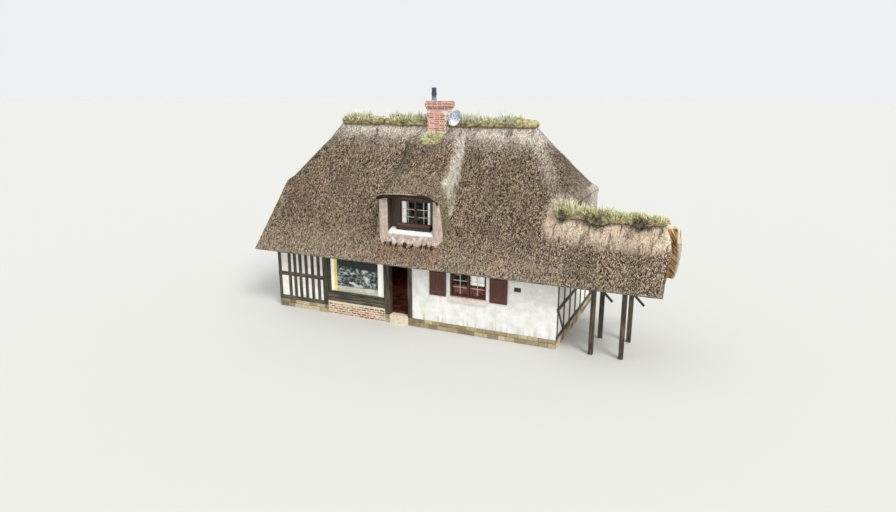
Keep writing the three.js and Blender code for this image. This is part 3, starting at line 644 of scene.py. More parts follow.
def shedTop(x, y):
    return np.minimum(shedFront(x, y), shedBack(x, y))


def shedUnder(x, y):
    cut = np.maximum(eaveCut(y), eaveCut(2 * shedRidge - y))
    return np.maximum(shedTop(x, y) - roof["thick"], cut)


def dormerArch(x):
    return dormer["arch"] * ((x - dormerMiddle) / dormerHalf) ** 2


def dormerLine(y):
    return dormer["edgeHeight"] + (y - dormer["edge"]) * dormer["slope"]


def dormerUnder(x, y):
    front = np.maximum(0, 1 - (y - dormer["edge"]) / dormer["thick"])
    thinner = dormer["thick"] - roof["tip"] - dormer["lip"]
    return dormerLine(y) - dormerArch(x) - dormer["thick"] + thinner * front


def dormerCeiling(x, y):
    # the underside behind the lip, raised a little over the window
    return dormerUnder(x, y) + dormer["head"] * way(np.abs(y - dormer["face"]), dormer["headReach"], 0)


def dormerTop(x, y):
    away = np.abs(x - dormerMiddle)
    beyond = np.maximum(0, away - dormer["shoulder"])
    rounded = dormerLine(y) - dormerArch(x) - dormer["side"] * beyond ** 2 / (beyond + dormer["shoulder"])
    top = softMax(rounded, dormerUnder(x, y) + dormer["lip"], 0.1)
    return top - np.maximum(0, away - dormerHalf) * dormer["flank"]


def houseTop(x, y):
    return np.where(y <= ridgeY, softMax(mainTop(x, y), dormerTop(x, y), dormer["blend"]), mainTop(x, y))


def beforeFace(x, y):
    # the main slope runs on below the dormer
    return np.where(y < dormer["face"], mainTop(x, y), houseTop(x, y))


def slopeNormal(top, x, y, step=0.02):
    across = (top(x + step, y) - top(x - step, y)) / (2 * step)
    along = (top(x, y + step) - top(x, y - step)) / (2 * step)
    normal = np.stack([-across, -along, np.ones_like(across)], -1)
    return normal / np.linalg.norm(normal, axis=-1, keepdims=True)


# Direction, weathering and painted light and shade of the reed

def flowOf(points, normals, cut=None, middle=None):
    # across and down the slope, in metres, for patterns that run down the roof; the hips have their own
    slant, hipShift = 1.27, 40.0
    x, y, z = points.T
    sideways = np.abs(normals[:, 0]) > np.abs(normals[:, 1])
    flow = np.stack([np.where(sideways, y, x), z * slant, np.where(sideways, hipShift, 0.0) + y * 0.2], -1)
    if cut is not None:
        # at a verge the reeds show their sides, aslant with the slope
        near = np.minimum(y, 2 * middle - y)
        lean = math.atan(roof["pitch"])
        verge = np.stack([z * math.cos(lean) - near * math.sin(lean),
                          near * math.cos(lean) + z * math.sin(lean), x], -1)
        chosen = (cut > 0) & ~sideways
        flow[chosen] = verge[chosen]
    return flow


def shaggy(top, x, y):
    # points on the trimmed thatch with its unevenness, and their normals
    normals = slopeNormal(top, x, y)
    points = np.stack([x, y, top(x, y)], -1)
    flow = flowOf(points, normals)
    swell = uneven(points, (0.028, 1.5, 1), (0.013, 0.42, 2))
    swell += uneven(flow * (1, 0.25, 1), (0.008, 0.11, 3)) + uneven(flow * (1, 0.4, 1), (0.009, 0.055, 4))
    return points + normals * swell[:, None], normals


def nearLine(points, ends, reach):
    # 1 on a line over the plan and 0 at reach from it
    start, end = np.array(ends[0]), np.array(ends[1])
    along = end - start
    share = np.clip(((points[:, :2] - start) @ along) / (along @ along), 0, 1)
    return way(np.linalg.norm(points[:, :2] - start - share[:, None] * along, axis=1), reach, 0)


# streaks and patches, and the painted shadow in the fold left of the dormer: reach, wander and line over the
# plan
weatheringAndShadow = {
    "valleyStreak": (0.25, 0.04, [(1.75, 3.2), (1.99, 2.4), (2.14, 1.5), (2.16, 0.8)]),
    "hipStreak": (0.35, 0, [(4.8, 3.3), (5.5, 2.5), (6.4, 1.4)]),
    "hipEave": (0.7, 0, [(7.08, 1.5), (7.08, 5.1)]),
    "tanBand": (0.72, 0, [(6.6, 0.9), (10.4, 0.9)]),
    "rustPatch": (0.36, 0, [(-0.3, -0.3), (2.1, -0.2)]),
    "mossPatch": (0.3, 0, [(0.3, 2.62), (0.95, 2.58)]),
    "shoulderMoss": (0.3, 0.08, [(2.12, 1.2), (2.22, 0.1)]),
    "leftFoldShadow": (0.24, 0, [(-0.42, 2.8), (-0.56, 1.8), (-0.62, 0.1)]),
}


def within(value, low, high, soft):
    return way(value, low, low + soft) * way(value, high, high - soft)


def weatherAndLightLayers(points, normals, cut=None, middle=None):
    def streak(name):
        reach, wander, line = weatheringAndShadow[name]
        moved = points + np.outer(lumps(points, 0.25, 12), (wander, 0, 0))
        return np.max([nearLine(moved, ends, reach) for ends in zip(line, line[1:])], axis=0)

    x, y, z = points.T
    front = y < ridgeY
    patches = 0.5 + 0.5 * lumps(points, 0.5, 8)
    fine = 0.5 + 0.5 * lumps(points, 0.16, 9)
    # bleached along the ridge, more so on the right, in the streaks and at the lowest rim
    pale = way(z, 6.6, 7.6) ** 1.5 * (0.55 + 0.4 * way(x, 2.3, 3.1)) + 0.5 * way(z, 7.15, 7.55)
    pale += 0.5 * streak("hipStreak") * (0.3 + patches) + 0.25 * streak("hipEave") * (0.5 + patches)
    pale += 3.2 * streak("valleyStreak") * (0.1 + patches * fine * 2.2) + 0.25 * way(z, 2.78, 2.66)
    # painted highlight on the cut rims of the half-hip's back corner and of the shed's front slope
    pale += within(x, rightEnd(y) - 0.2, 7.9, 0.05) * within(y, 3.3, 6.4, 1.3) * (z > 4)
    pale += within(x, wingFrontEnd(y) - 0.16, 11, 0.05) * within(y, 0.4, shedRidge + 0.2, 0.2) * (x > 9)
    # faded low on the slopes, lighter on the dormer and darker in the broad field to the right of it
    faded = way(z, 3.9, 3.1) * np.where(x > roof["rightEdge"], 0.25, 1)
    faded += 0.8 * within(x, dormer["left"], dormer["right"], 0.2) * within(z, 4.9, 6.3, 0.5) * front
    dimmed = 0.18 * within(x, 2.7, 7.0, 0.4) * within(z, 3.3, 6.4, 0.5) * front
    # painted shadow in the fold where the dormer's left side meets the main slope
    foldShadow = 0.7 * streak("leftFoldShadow") * (0.6 + 0.5 * patches)
    eaveShade = way(z, 2.66, 2.5) * (y < -0.2)
    layers = {
        "pale": pale,
        "faded": faded,
        "tan": 2.4 * streak("tanBand") * (0.35 + 1.1 * patches),
        "rust": 1.3 * streak("rustPatch") * (z < 4.2),
        "moss": 1.6 * streak("mossPatch") + streak("shoulderMoss") * (0.1 + patches),
        "dark": np.maximum(eaveShade, foldShadow) + dimmed,
    }
    layers = {name: np.clip(values, 0, 1) for name, values in layers.items()}
    return {"flow": flowOf(points, normals, cut, middle), **layers}


# Coat of reed over the whole house and the front of the shed

coat = {"spacing": 0.027, "backSpacing": 0.042, "columns": (126, 10, 60, 10, 110), "wingColumns": 76,
        "flank": 0.19, "edgeRound": 0.09, "edgeDrop": 0.045, "eaveRound": 1.6, "hipDrop": 0.28,
        "hipTuck": 0.2, "vergeSweep": 0.25, "vergeTuck": 0.03, "eaveSteps": 6, "vergeSteps": 14}
eaveReach = (roof["thick"] - roof["tip"]) / (roof["pitch"] + roof["eaveCut"])
eaveInner = eaveReach - roof["eaveOut"]


def welded(points, faces, marks):
    # joins points that lie together, and drops faces without area
    _, first, turned = np.unique(np.round(points, 4), axis=0, return_index=True, return_inverse=True)
    faces = turned.reshape(-1)[faces]
    following = np.roll(faces, -1, axis=1)
    whole = (faces != following).all(axis=1) & (faces[:, 0] != faces[:, 2]) & (faces[:, 1] != faces[:, 3])
    kept = faces[whole].tolist()
    for face in faces[~whole].tolist():
        ring = [v for i, v in enumerate(face) if v != face[i - 1]]
        if len(set(ring)) == len(ring) == 3:
            kept.append(ring)
    return points[first], kept, marks[first]


def joined(blocks):
    # one surface of several, with a mark on the points that only belong to the marked ones
    points, faces, marks, start = [], [], [], 0
    for blockPoints, blockFaces, *marked in blocks:
        points.append(blockPoints)
        faces.append(blockFaces + start)
        marks.append(np.full(len(blockPoints), float(len(marked))))
        start += len(blockPoints)
    return welded(np.concatenate(points), np.concatenate(faces), np.concatenate(marks))


def rimStrip(edge, lower, outward, steps, seed):
    # the cut end of the reed from an edge of the top surface down to its lower line
    outward = np.array(outward, float)
    rows = [edge]
    for t in np.linspace(0, 1, steps + 1)[1:]:
        line = edge * (1 - t) + lower * t + outward * 0.03 * math.sin(math.pi * t)
        rows.append(line + outward * 0.012 * lumps(line, 0.06, seed)[:, None] * (t < 1))
    return np.concatenate(rows), gridFaces(steps + 1, len(edge))


def lowered(edge, inwards, height):
    # the lower line of a rim, moved inwards and set to its height
    line = edge + inwards
    line[:, 2] = height
    return line


def eaveRim(edge, sign, seed):
    # sign is 1 at an eave in front and -1 at one behind
    lower = lowered(edge, (0, sign * eaveReach, 0), eaveCut(eaveInner))
    return rimStrip(edge[::sign], lower[::sign], (0, -0.8 * sign, -0.6), coat["eaveSteps"], seed)


def vergeRim(edge, lower, seed, sign=1):
    # sign is 1 at an end on the right and -1 at one on the left
    return (*rimStrip(edge[::sign], lower[::sign], (sign, 0, 0), coat["vergeSteps"], seed), "verge")


def bowed(share, nearEnd, farEnd, bow):
    # a verge between two ends that bulges by bow in its middle
    return nearEnd + (farEnd - nearEnd) * share + bow * 4 * share * (1 - share)


def wingFrontEnd(y):
    # bulges most in its upper half
    share = way(y, -roof["eaveOut"], shedRidge)
    bulge = wing["frontBulge"] * np.sin(math.pi * share ** 2)
    return bowed(share, wing["frontEnd"], wing["ridgeEnd"], 0) + bulge


def wingBackEnd(y):
    eave = 2 * shedRidge + roof["eaveOut"]
    end = bowed(way(y, shedRidge, eave), wing["backRidgeEnd"], wing["backEaveEnd"], wing["backBulge"])
    return end - wing["cornerTuck"] * way(y, eave - wing["corner"], eave) ** 2


def leftEnd(y):
    foot = ridgeY - (roof["leftRidge"] - roof["leftEdge"]) * roof["leftHip"] / roof["pitch"]
    near = np.minimum(y, 2 * ridgeY - y)
    return roof["leftEdge"] - roof["flare"] * way(near, foot, -roof["eaveOut"])


def rightEnd(y):
    foot = ridgeY - (roof["rightEdge"] - roof["rightRidge"]) * roof["rightHip"] / roof["pitch"]
    share = way(2 * ridgeY - y, foot, -roof["eaveOut"])
    swept = bowed(share, 0, 0.4 * roof["flare"], -coat["vergeSweep"])
    return roof["rightEdge"] + np.where(y > ridgeY, swept, 0)


def hipShare(y):
    # 1 along the half-hip's eave and 0 beyond its corners
    return way(np.abs(y - ridgeY), 2.3, 2.0)


def hipLow(x, y):
    # the right half-hip's trimmed lower line
    return mainUnder(x, y) - coat["hipDrop"] * hipShare(y)


def rounded(points, distance):
    # lowers the surface close to a cut edge
    points[:, 2] -= coat["edgeDrop"] * way(distance, coat["edgeRound"], 0) ** 2
    return points


def spaced(start, end, spacing):
    return np.linspace(start, end, max(2, int(round((end - start) / spacing)) + 1))


def buildCoat():
    face, left, right = dormer["face"], dormer["left"], dormer["right"]
    eave = roof["eaveOut"]
    below = spaced(-eave, face, coat["spacing"])
    upToWing = spaced(face, shedRidge, coat["spacing"])
    toRidge = spaced(shedRidge, ridgeY, coat["spacing"])[1:]
    back = spaced(ridgeY, 2 * ridgeY + eave, coat["backSpacing"])[1:]
    above = np.concatenate([upToWing, toRidge, back])
    counts = coat["columns"]

    def row(y):
        stops = [leftEnd(y), left - coat["flank"], left, right, right + coat["flank"], rightEnd(y)]
        parts = [np.linspace(stops[i], stops[i + 1], n, endpoint=False) for i, n in enumerate(counts)]
        return np.append(np.concatenate(parts), stops[-1])

    def surface(ys, top):
        xs = np.stack([row(y) for y in ys])
        yy = np.repeat(ys, xs.shape[1])
        points, _ = shaggy(top, xs.ravel(), yy)
        fromRight = np.where(ys[:, None] > shedRidge, xs[:, -1:] - xs, 9.0)
        ends = np.minimum(xs - xs[:, :1], fromRight).ravel()
        eaves = np.minimum(yy + eave, 2 * ridgeY + eave - yy)
        return rounded(points, np.minimum(ends, eaves * coat["eaveRound"])), xs.shape[1]

    lowPoints, columns = surface(below, mainTop)
    highPoints, _ = surface(above, houseTop)
    rows = len(below) + len(above)
    # both surfaces have a row at the dormer's face, and in the dormer they stay apart
    gapRow = len(below) - 1
    keep = np.ones((rows - 1, columns - 1), bool)
    keep[gapRow, sum(counts[:2]):sum(counts[:3])] = False
    housePoints = np.concatenate([lowPoints, highPoints])
    blocks = [(housePoints, gridFaces(rows, columns)[keep.ravel()])]
    grid = housePoints.reshape(rows, columns, 3)

    # the front slope runs on over the shed
    wingRows = np.concatenate([below, upToWing])
    ends = wingFrontEnd(wingRows)
    share = np.linspace(0, 1, coat["wingColumns"] + 1)
    wx = roof["rightEdge"] + (ends[:, None] - roof["rightEdge"]) * share
    wy = np.repeat(wingRows, len(share))
    points, _ = shaggy(shedFront, wx.ravel(), wy)
    points = rounded(points, np.minimum((ends[:, None] - wx).ravel(), (wy + eave) * coat["eaveRound"]))
    wingGrid = points.reshape(len(wingRows), len(share), 3)
    wingGrid[:, 0] = grid[:len(wingRows), -1]
    blocks.append((wingGrid.reshape(-1, 3), gridFaces(*wingGrid.shape[:2])))

    # cut ends along the eaves, the half-hips and the verges
    tuck = coat["vergeTuck"]
    blocks.append(eaveRim(np.concatenate([grid[0], wingGrid[0, 1:]]), 1, 21))
    blocks.append(eaveRim(grid[-1], -1, 22))
    edge = grid[:, 0]
    blocks.append(vergeRim(edge, lowered(edge, (tuck, 0, 0), mainUnder(*plan(edge))), 23, -1))
    edge = grid[gapRow + len(upToWing):, -1]
    lower = lowered(edge, (-tuck, 0, 0), hipLow(*plan(edge)))
    lower[:, 0] -= coat["hipTuck"] * hipShare(edge[:, 1])
    blocks.append(vergeRim(edge, lower, 24))
    edge = wingGrid[:, -1]
    height = np.maximum(frontSlope(edge[:, 1]) - roof["thick"], eaveCut(edge[:, 1]))
    blocks.append(vergeRim(edge, lowered(edge, (-tuck, 0, 0), height), 25))
    points, faces, cut = joined(blocks)
    # beyond the half-hip only the front slope goes on
    x, y = plan(points)
    overShed = (x > roof["rightEdge"]) & (y < shedRidge + 0.01)
    normals = slopeNormal(beforeFace, np.where(overShed, 3.5, x), y)
    return makePiece("thatch_coat", points, faces, "thatch", "thatch",
                     layers=weatherAndLightLayers(points, normals, cut, ridgeY), replaces=[
                         "thatch_front_left", "thatch_front_right", "thatch_front_lower", "thatch_back",
                         "thatch_hip_left", "thatch_hip_right", "thatch_wing_front"])


coatPiece = buildCoat()
print("thatch coat:", len(coatPiece.data.polygons), "faces")


# Underside of the reed, in the attic, under the eaves and in the shed

underside = {"spacing": 0.1, "inset": 0.03, "lean": 29}
cheekLeft, cheekRight = nodeBox("dormer_frame")[0][0], nodeBox("dormer_frame")[1][0]
shedStart = nodeBox("thatch_wing_back")[0][0]


def level(x):
    return lambda y: np.full(len(y), float(x))


def leftInner(y):
    return leftEnd(y) + underside["inset"]


def rightInner(y):
    return rightEnd(y) - underside["inset"] - coat["hipTuck"] * hipShare(y)


def bayUnder(x, y):
    return np.maximum(mainUnder(x, y), dormerCeiling(x, y))


def spread(ys, startX, endX, columns, height):
    # a grid over the plan between two edges, with its heights
    starts, ends = startX(ys), endX(ys)
    x = (starts[:, None] + (ends - starts)[:, None] * np.linspace(0, 1, columns)).ravel()
    y = np.repeat(ys, columns)
    return np.stack([x, y, height(x, y)], -1)


def slanted(across, down):
    # flow of reeds that lie aslant near the shed's end, from upper left to lower right
    lean = math.radians(underside["lean"])
    return np.stack([across * math.cos(lean) - down * math.sin(lean),
                     across * math.sin(lean) + down * math.cos(lean), across * 0], -1)


def buildUnderside():
    inset, face = underside["inset"], dormer["face"]
    backInner = 2 * ridgeY - eaveInner
    # from y, to y, start, end, columns and height of each area
    areas = [
        (eaveInner, face, leftInner, rightInner, 120, mainUnder),
        (face, backInner, leftInner, level(cheekLeft), 60, mainUnder),
        (face, ridgeY, level(cheekLeft), level(cheekRight), 24, bayUnder),
        (ridgeY, backInner, level(cheekLeft), level(cheekRight), 24, mainUnder),
        (face, backInner, level(cheekRight), rightInner, 60, mainUnder),
        (eaveInner, shedRidge, level(roof["rightEdge"] - inset), lambda y: wingFrontEnd(y) - inset, 40,
         shedUnder),
        (shedRidge, 2 * shedRidge - eaveInner, level(shedStart), lambda y: wingBackEnd(y) - inset, 44,
         shedUnder),
    ]
    points, faces, start = [], [], 0
    for near, far, startX, endX, columns, height in areas:
        ys = spaced(near, far, underside["spacing"])
        area = spread(ys, startX, endX, columns, height)
        area[:, 2] += uneven(area, (0.012, 0.16, 31)) + uneven(area * (1, 0.2, 0.2), (0.006, 0.05, 32))
        if endX is rightInner:
            area[columns - 1::columns, 2] = hipLow(rightEnd(ys), ys)
        points.append(area)
        faces.append(gridFaces(len(ys), columns, start)[:, ::-1])
        start += len(area)
    shed = np.arange(start) >= start - len(points[-1])
    points = np.concatenate(points)
    x, y = plan(points)
    flow = flowOf(points, slopeNormal(houseTop, x, y))
    flow[shed] = slanted(x[shed], y[shed] * math.hypot(1, roof["pitch"]))
    # painted highlight along the shed's back verge, where the underside meets the lit cut edge
    pale = way(x - wingBackEnd(y), -0.08, -0.04) * shed
    makePiece("thatch_underside", points, np.concatenate(faces), "underside", "thatch",
              layers={"flow": flow, "pale": pale})


buildUnderside()


# Back slope over the shed, which reaches out beyond the front one

wingBack = {"spacing": 0.04, "columns": 90, "litEnd": 0.1, "faceSteps": 10}


def buildWingBack():
    columns = wingBack["columns"]
    ys = spaced(shedRidge, 2 * shedRidge + roof["eaveOut"], wingBack["spacing"])
    x, y = plan(spread(ys, level(shedStart), wingBackEnd, columns, shedTop))
    points, _ = shaggy(shedBack, x, y)
    points = rounded(points, np.minimum(wingBackEnd(y) - x, (ys[-1] - y) * coat["eaveRound"]))
    grid = points.reshape(len(ys), columns, 3)
    verge = grid[:, -1]
    vergeLow = lowered(verge, (-coat["vergeTuck"], 0, 0), shedUnder(*plan(verge)))
    points, faces, cut = joined([(points, gridFaces(len(ys), columns)), eaveRim(grid[-1], -1, 26),
                                 vergeRim(verge, vergeLow, 27)])
    x, y = plan(points)
    layers = weatherAndLightLayers(points, slopeNormal(shedTop, x, y), cut, shedRidge)
    # painted highlight on the verge at the far end, where the cut reed catches the light
    layers["pale"] = np.clip(layers["pale"] + 0.9 * (x > wingBackEnd(y) - wingBack["litEnd"]), 0, 1)
    makePiece("wing_back_thatch", points, faces, "thatch", "thatch", layers=layers,
              replaces=["thatch_wing_back"])

    # the ridge's cut face, where the golden inside of the reed shows
    top = grid[0][::-1]
    steps = wingBack["faceSteps"]
    points, faces = rimStrip(top, lowered(top, 0, shedUnder(*plan(top))), (0, -1, 0), steps, 28)
    below = np.tile(top[:, 2], steps + 1) - points[:, 2]
    edge = np.minimum(top[0, 0] - points[:, 0], below)
    # the face's edges get a painted highlight
    makePiece("wing_ridge_face", points, faces, "underside", "thatch", layers={
        "flow": slanted(points[:, 0], -points[:, 2]), "pale": way(edge, 0.1, 0.05)})


buildWingBack()


# Brow of the dormer, a thin lip of reed over the window

brow = {"lift": 0.21, "raise": 0.225, "deep": 0.25, "steps": 4,
        "left": (-0.1, 0.32, 0.15), "right": (1.7, 0.5, 0.26)}


def browCorner(x):
    # how far the lip curves down over the plaster at each end
    drop = 0
    for start, reach, depth, sign in (brow["left"] + (-1,), brow["right"] + (1,)):
        share = np.clip(sign * (x - start) / reach, 0, 1)
        drop = drop + depth * (1 - np.sqrt(1 - share ** 2))
    return drop


def browShare(y):
    # 1 at the lip's edge and 0 where it lies on the dormer's slope
    return way(y, dormer["edge"] + brow["deep"], dormer["edge"])


def browTop(x, y):
    return dormerTop(x, y) + (brow["lift"] - browCorner(x)) * browShare(y)


def buildBrow():
    columns = coat["columns"][2] + 1
    ys = spaced(dormer["edge"], dormer["face"], coat["spacing"])
    x = np.tile(np.linspace(dormer["left"], dormer["right"], columns), len(ys))
    y = np.repeat(ys, columns)
    points, _ = shaggy(houseTop, x, y)
    sides = np.minimum(x - dormer["left"], dormer["right"] - x)
    corner, front = browCorner(x), browShare(y)
    points[:, 2] += (brow["lift"] - corner) * front
    points = rounded(points, np.minimum(sides * 2, (y - dormer["edge"]) * 2.5))
    low = np.stack([x, y, dormerUnder(x, y) + (brow["raise"] - corner) * front], -1)
    low[:, 2] += (dormerCeiling(x, y) - dormerUnder(x, y)) * (1 - front) * way(sides, 0.12, 0.52)
    low[:, 2] += uneven(low, (0.01, 0.12, 41))
    low[:, 2] += (points[:, 2] - low[:, 2]) * 0.5 * way(corner, 0, 0.2)
    top, under = points.reshape(len(ys), columns, 3), low.reshape(len(ys), columns, 3)
    blocks = [(points, gridFaces(len(ys), columns)), (low, gridFaces(len(ys), columns)[:, ::-1], "under")]
    blocks.append(rimStrip(top[0], under[0], (0, -1, -0.3), brow["steps"], 42))
    blocks.append(rimStrip(top[::-1, 0], under[::-1, 0], (-1, 0, 0), brow["steps"], 43))
    blocks.append(rimStrip(top[:, -1], under[:, -1], (1, 0, 0), brow["steps"], 44))
    points, faces, below = joined(blocks)
    x, y = plan(points)
    layers = weatherAndLightLayers(points, slopeNormal(houseTop, x, y))
    # painted shade on the lip's underside and on the rim's right part, painted highlight where the rim
    # catches light on the left
    rim = (y < dormer["edge"] - 0.003) & (below == 0)
    layers["shadow"] = layers["dark"] = np.clip(below + rim * way(x, 1.1, 1.6), 0, 1)
    layers["bright"] = np.clip(rim * way(x, 1.5, 1.2) * (0.6 + uneven(points, (0.6, 0.25, 45))), 0, 1)
    layers["pale"] *= ~rim
    makePiece("dormer_brow", points, faces, "thatch", "thatch", layers=layers,
              replaces=["thatch_dormer"])


buildBrow()


# Turf caps along the ridges

turf = {"half": 0.2, "tall": 0.19, "lift": 0.08, "spacing": 0.04, "around": 26, "end": 0.28, "bare": -0.2,
        "rise": 0, "level": 1, "hangs": []}
# each clod that hangs down has its place, its reach along the ridge and its depth
shedTurf = {**turf, "half": 0.17, "tall": 0.155, "lift": 0.07, "start": 6.4, "rise": 0.16, "level": 8.4,
            "bare": 0.0, "hangs": [(8.0, 0.55, 0.17), (9.5, 0.4, 0.15), (6.75, 0.25, 0.06)]}


def turfRoll(name, start, end, middle, apex, shape, replaced, seed):
    # a round roll of turf on a ridge, with clods that hang down its front
    xs = spaced(start, end, turf["spacing"])
    angles = np.radians(np.linspace(-80, 260, turf["around"]))
    x, a = np.repeat(xs, len(angles)), np.tile(angles, len(xs))
    cos, sin = np.cos(a), np.sin(a)
    line = np.stack([x, cos * 0.1, x * 0], -1)
    ends = way(np.minimum(x - start, end - x), 0, turf["end"])
    size = np.sqrt(ends * (2 - ends) + 0.004) * (1 + uneven(line, (0.16, 0.5, seed), (0.12, 0.14, seed + 1)))
    low = np.clip(-sin * 1.3 + 0.3, 0, 1) * (cos > 0)
    hang = sum((depth * way(np.abs(x - at), reach, 0) for at, reach, depth in shape["hangs"]), x * 0)
    rise = shape["rise"] * way(x, shape["level"], shape["level"] - 2)
    y = middle - shape["half"] * cos * size - hang * low * 0.8
    z = apex + shape["lift"] + rise * (sin + 1) / 2 + shape["tall"] * sin * size - hang * low
    points = np.stack([x, y, z], -1)
    rough = uneven(points, (0.02, 0.24, seed + 2), (0.016, 0.07, seed + 3))
    points += np.stack([x * 0, -cos, sin], -1) * rough[:, None]
    hanging = (hang > 0.03) & (cos > 0.1) & (sin < 0.8)
    clods = 9 * hang * hanging * (0.55 + uneven(points, (0.7, 0.07, seed + 5)))
    # painted shade under the roll, and the dark colour of the hanging clods
    layers = {"dark": np.clip(way(sin, -0.45, -0.75) * 0.5 + clods, 0, 1),
              "moss": np.clip(0.45 + lumps(points, 0.5, seed + 4), 0, 1)}
    faces = gridFaces(len(xs), len(angles))[:, ::-1]
    makePiece(name, points, faces, "turf", "turf", layers=layers, replaces=[replaced])
    crown = (sin > 0.1) | ((cos > 0) & (sin > shape["bare"]))
    return points[crown & ~hanging], points[hanging & (sin > -0.75)]


leftCap, rightCap = nodeBox("ridge_cap_left"), nodeBox("ridge_cap_right")
shedCap = nodeBox("wing_ridge_cap")
turfPoints = {
    "left": turfRoll("turf_ridge_left", leftCap[0][0] + 0.05, leftCap[1][0] + 0.3, ridgeY, ridgeHeight, turf,
                     "ridge_cap_left", 51),
    "right": turfRoll("turf_ridge_right", rightCap[0][0] - 0.3, rightCap[1][0], ridgeY, ridgeHeight, turf,
                      "ridge_cap_right", 61),
    "wing": turfRoll("turf_ridge_shed", shedTurf["start"], shedCap[1][0], shedRidge,
                     float(frontSlope(shedRidge)), shedTurf, "wing_ridge_cap", 71),
}


# Grass on the turf, in tufts of bent blades

blade = {"shares": (0, 0.35, 0.7, 1.0), "taper": (1, 0.8, 0.45, 0), "width": (0.022, 0.06), "bend": 0.3,
         "spread": (0.035, 0.03, 0.008), "sunk": 0.03}


def bladeMesh(roots, leans, lengths, widths, bends, random):
    # each blade is a strip of three parts that narrows to its tip
    count = len(roots)
    leans = leans / np.linalg.norm(leans, axis=1, keepdims=True)
    heading = random.uniform(0, 2 * math.pi, count)
    side = np.stack([np.cos(heading), np.sin(heading), np.zeros(count)], -1)
    points = np.zeros((count, 7, 3))
    for k, (t, w) in enumerate(zip(blade["shares"], blade["taper"])):
        centre = roots + leans * (lengths * t)[:, None]
        centre[:, 2] -= bends * lengths * t * t
        points[:, 2 * k] = centre - side * (widths * w / 2)[:, None]
        if k < 3:
            points[:, 2 * k + 1] = centre + side * (widths * w / 2)[:, None]
    start = np.arange(count)[:, None] * 7
    quads = np.concatenate([start + [0, 1, 3, 2], start + [2, 3, 5, 4]]).tolist()
    tip = np.tile(np.repeat(blade["shares"], (2, 2, 2, 1)), count)
    return points.reshape(-1, 3), quads + (start + [4, 5, 6]).tolist(), tip


def growGrass(name, ground, clumps, finish, tufts, blades, height, seed, lean=(0, 0, 1)):
    # clumps lists where the grass stands, its reach along the ridge and how tall it is there
    random = np.random.default_rng(seed)
    chosen = random.integers(0, len(clumps), tufts)
    at, reach, tall = np.array(clumps).T
    x = at[chosen] + reach[chosen] * random.uniform(-1, 1, tufts)
    order = np.argsort(ground[:, 0])
    index = np.searchsorted(ground[order, 0], x) + random.integers(-8, 9, tufts)
    crown = ground[order[np.clip(index, 0, len(ground) - 1)]]
    size = random.uniform(0.25, 1.15, tufts) * tall[chosen]
    owner = np.repeat(np.arange(tufts), random.integers(blades // 2, blades, tufts))
    count = len(owner)
    roots = crown[owner] + random.normal(0, 1, (count, 3)) * blade["spread"] - (0, 0, blade["sunk"])
    leans = random.normal(0, 0.3, (count, 3)) + lean
    lengths = height * size[owner] * (0.35 + 0.9 * random.uniform(0, 1, count) ** 2)
    widths, bends = random.uniform(*blade["width"], count), random.uniform(0, blade["bend"], count)
    points, faces, tip = bladeMesh(roots, leans, lengths, widths, bends, random)
    shade = np.repeat(random.uniform(0, 1, tufts)[owner] ** 2.5, 7)
    makePiece(name, points, faces, finish, "turf", smooth=False, layers={"tip": tip, "shade": shade})


# clumps along each ridge, how many tufts they have and the finish of the pale ones
grass = {
    "left": ([(-3.55, 0.25, 0.8), (-3.0, 0.35, 1.0), (-2.3, 0.3, 0.35), (-1.3, 0.3, 0.9), (-0.6, 0.45, 1.0),
              (0.0, 0.3, 0.9)], 250, "silverGrass"),
    "right": ([(1.7, 0.3, 0.8), (2.2, 0.4, 1.0), (2.8, 0.3, 0.8), (3.35, 0.25, 0.45), (3.75, 0.3, 1.1),
               (4.1, 0.2, 0.7)], 210, "silverGrass"),
    "wing": ([(6.75, 0.25, 1.0), (7.25, 0.3, 1.2), (7.7, 0.3, 0.8), (8.3, 0.35, 0.95), (8.9, 0.4, 0.75),
              (9.35, 0.3, 0.9), (9.9, 0.35, 0.7), (10.2, 0.15, 0.5)], 290, "dryGrass"),
}
for side, (clumps, tufts, paleFinish) in grass.items():
    crown, hanging = turfPoints[side]
    growGrass("grass_pale_" + side, crown, clumps, paleFinish, tufts, 11, 0.44, 81 + tufts)
    growGrass("grass_green_" + side, crown, clumps, "greenGrass", tufts, 11, 0.34, 82 + tufts)
    if len(hanging):
        spots = [(at, reach * 0.8, 1.0) for at, reach, _ in shedTurf["hangs"]]
        growGrass("moss_hanging_" + side, hanging, spots, "darkMoss", 260, 12, 0.11, 83 + tufts,
                  (0, -0.9, 0.1))


# Grassy clump of moss where the chimney meets the thatch

mossClump = {"centre": (0.7, 2.62), "reach": (0.5, 0.36), "height": 0.17, "sunk": 0.03, "steps": 34}


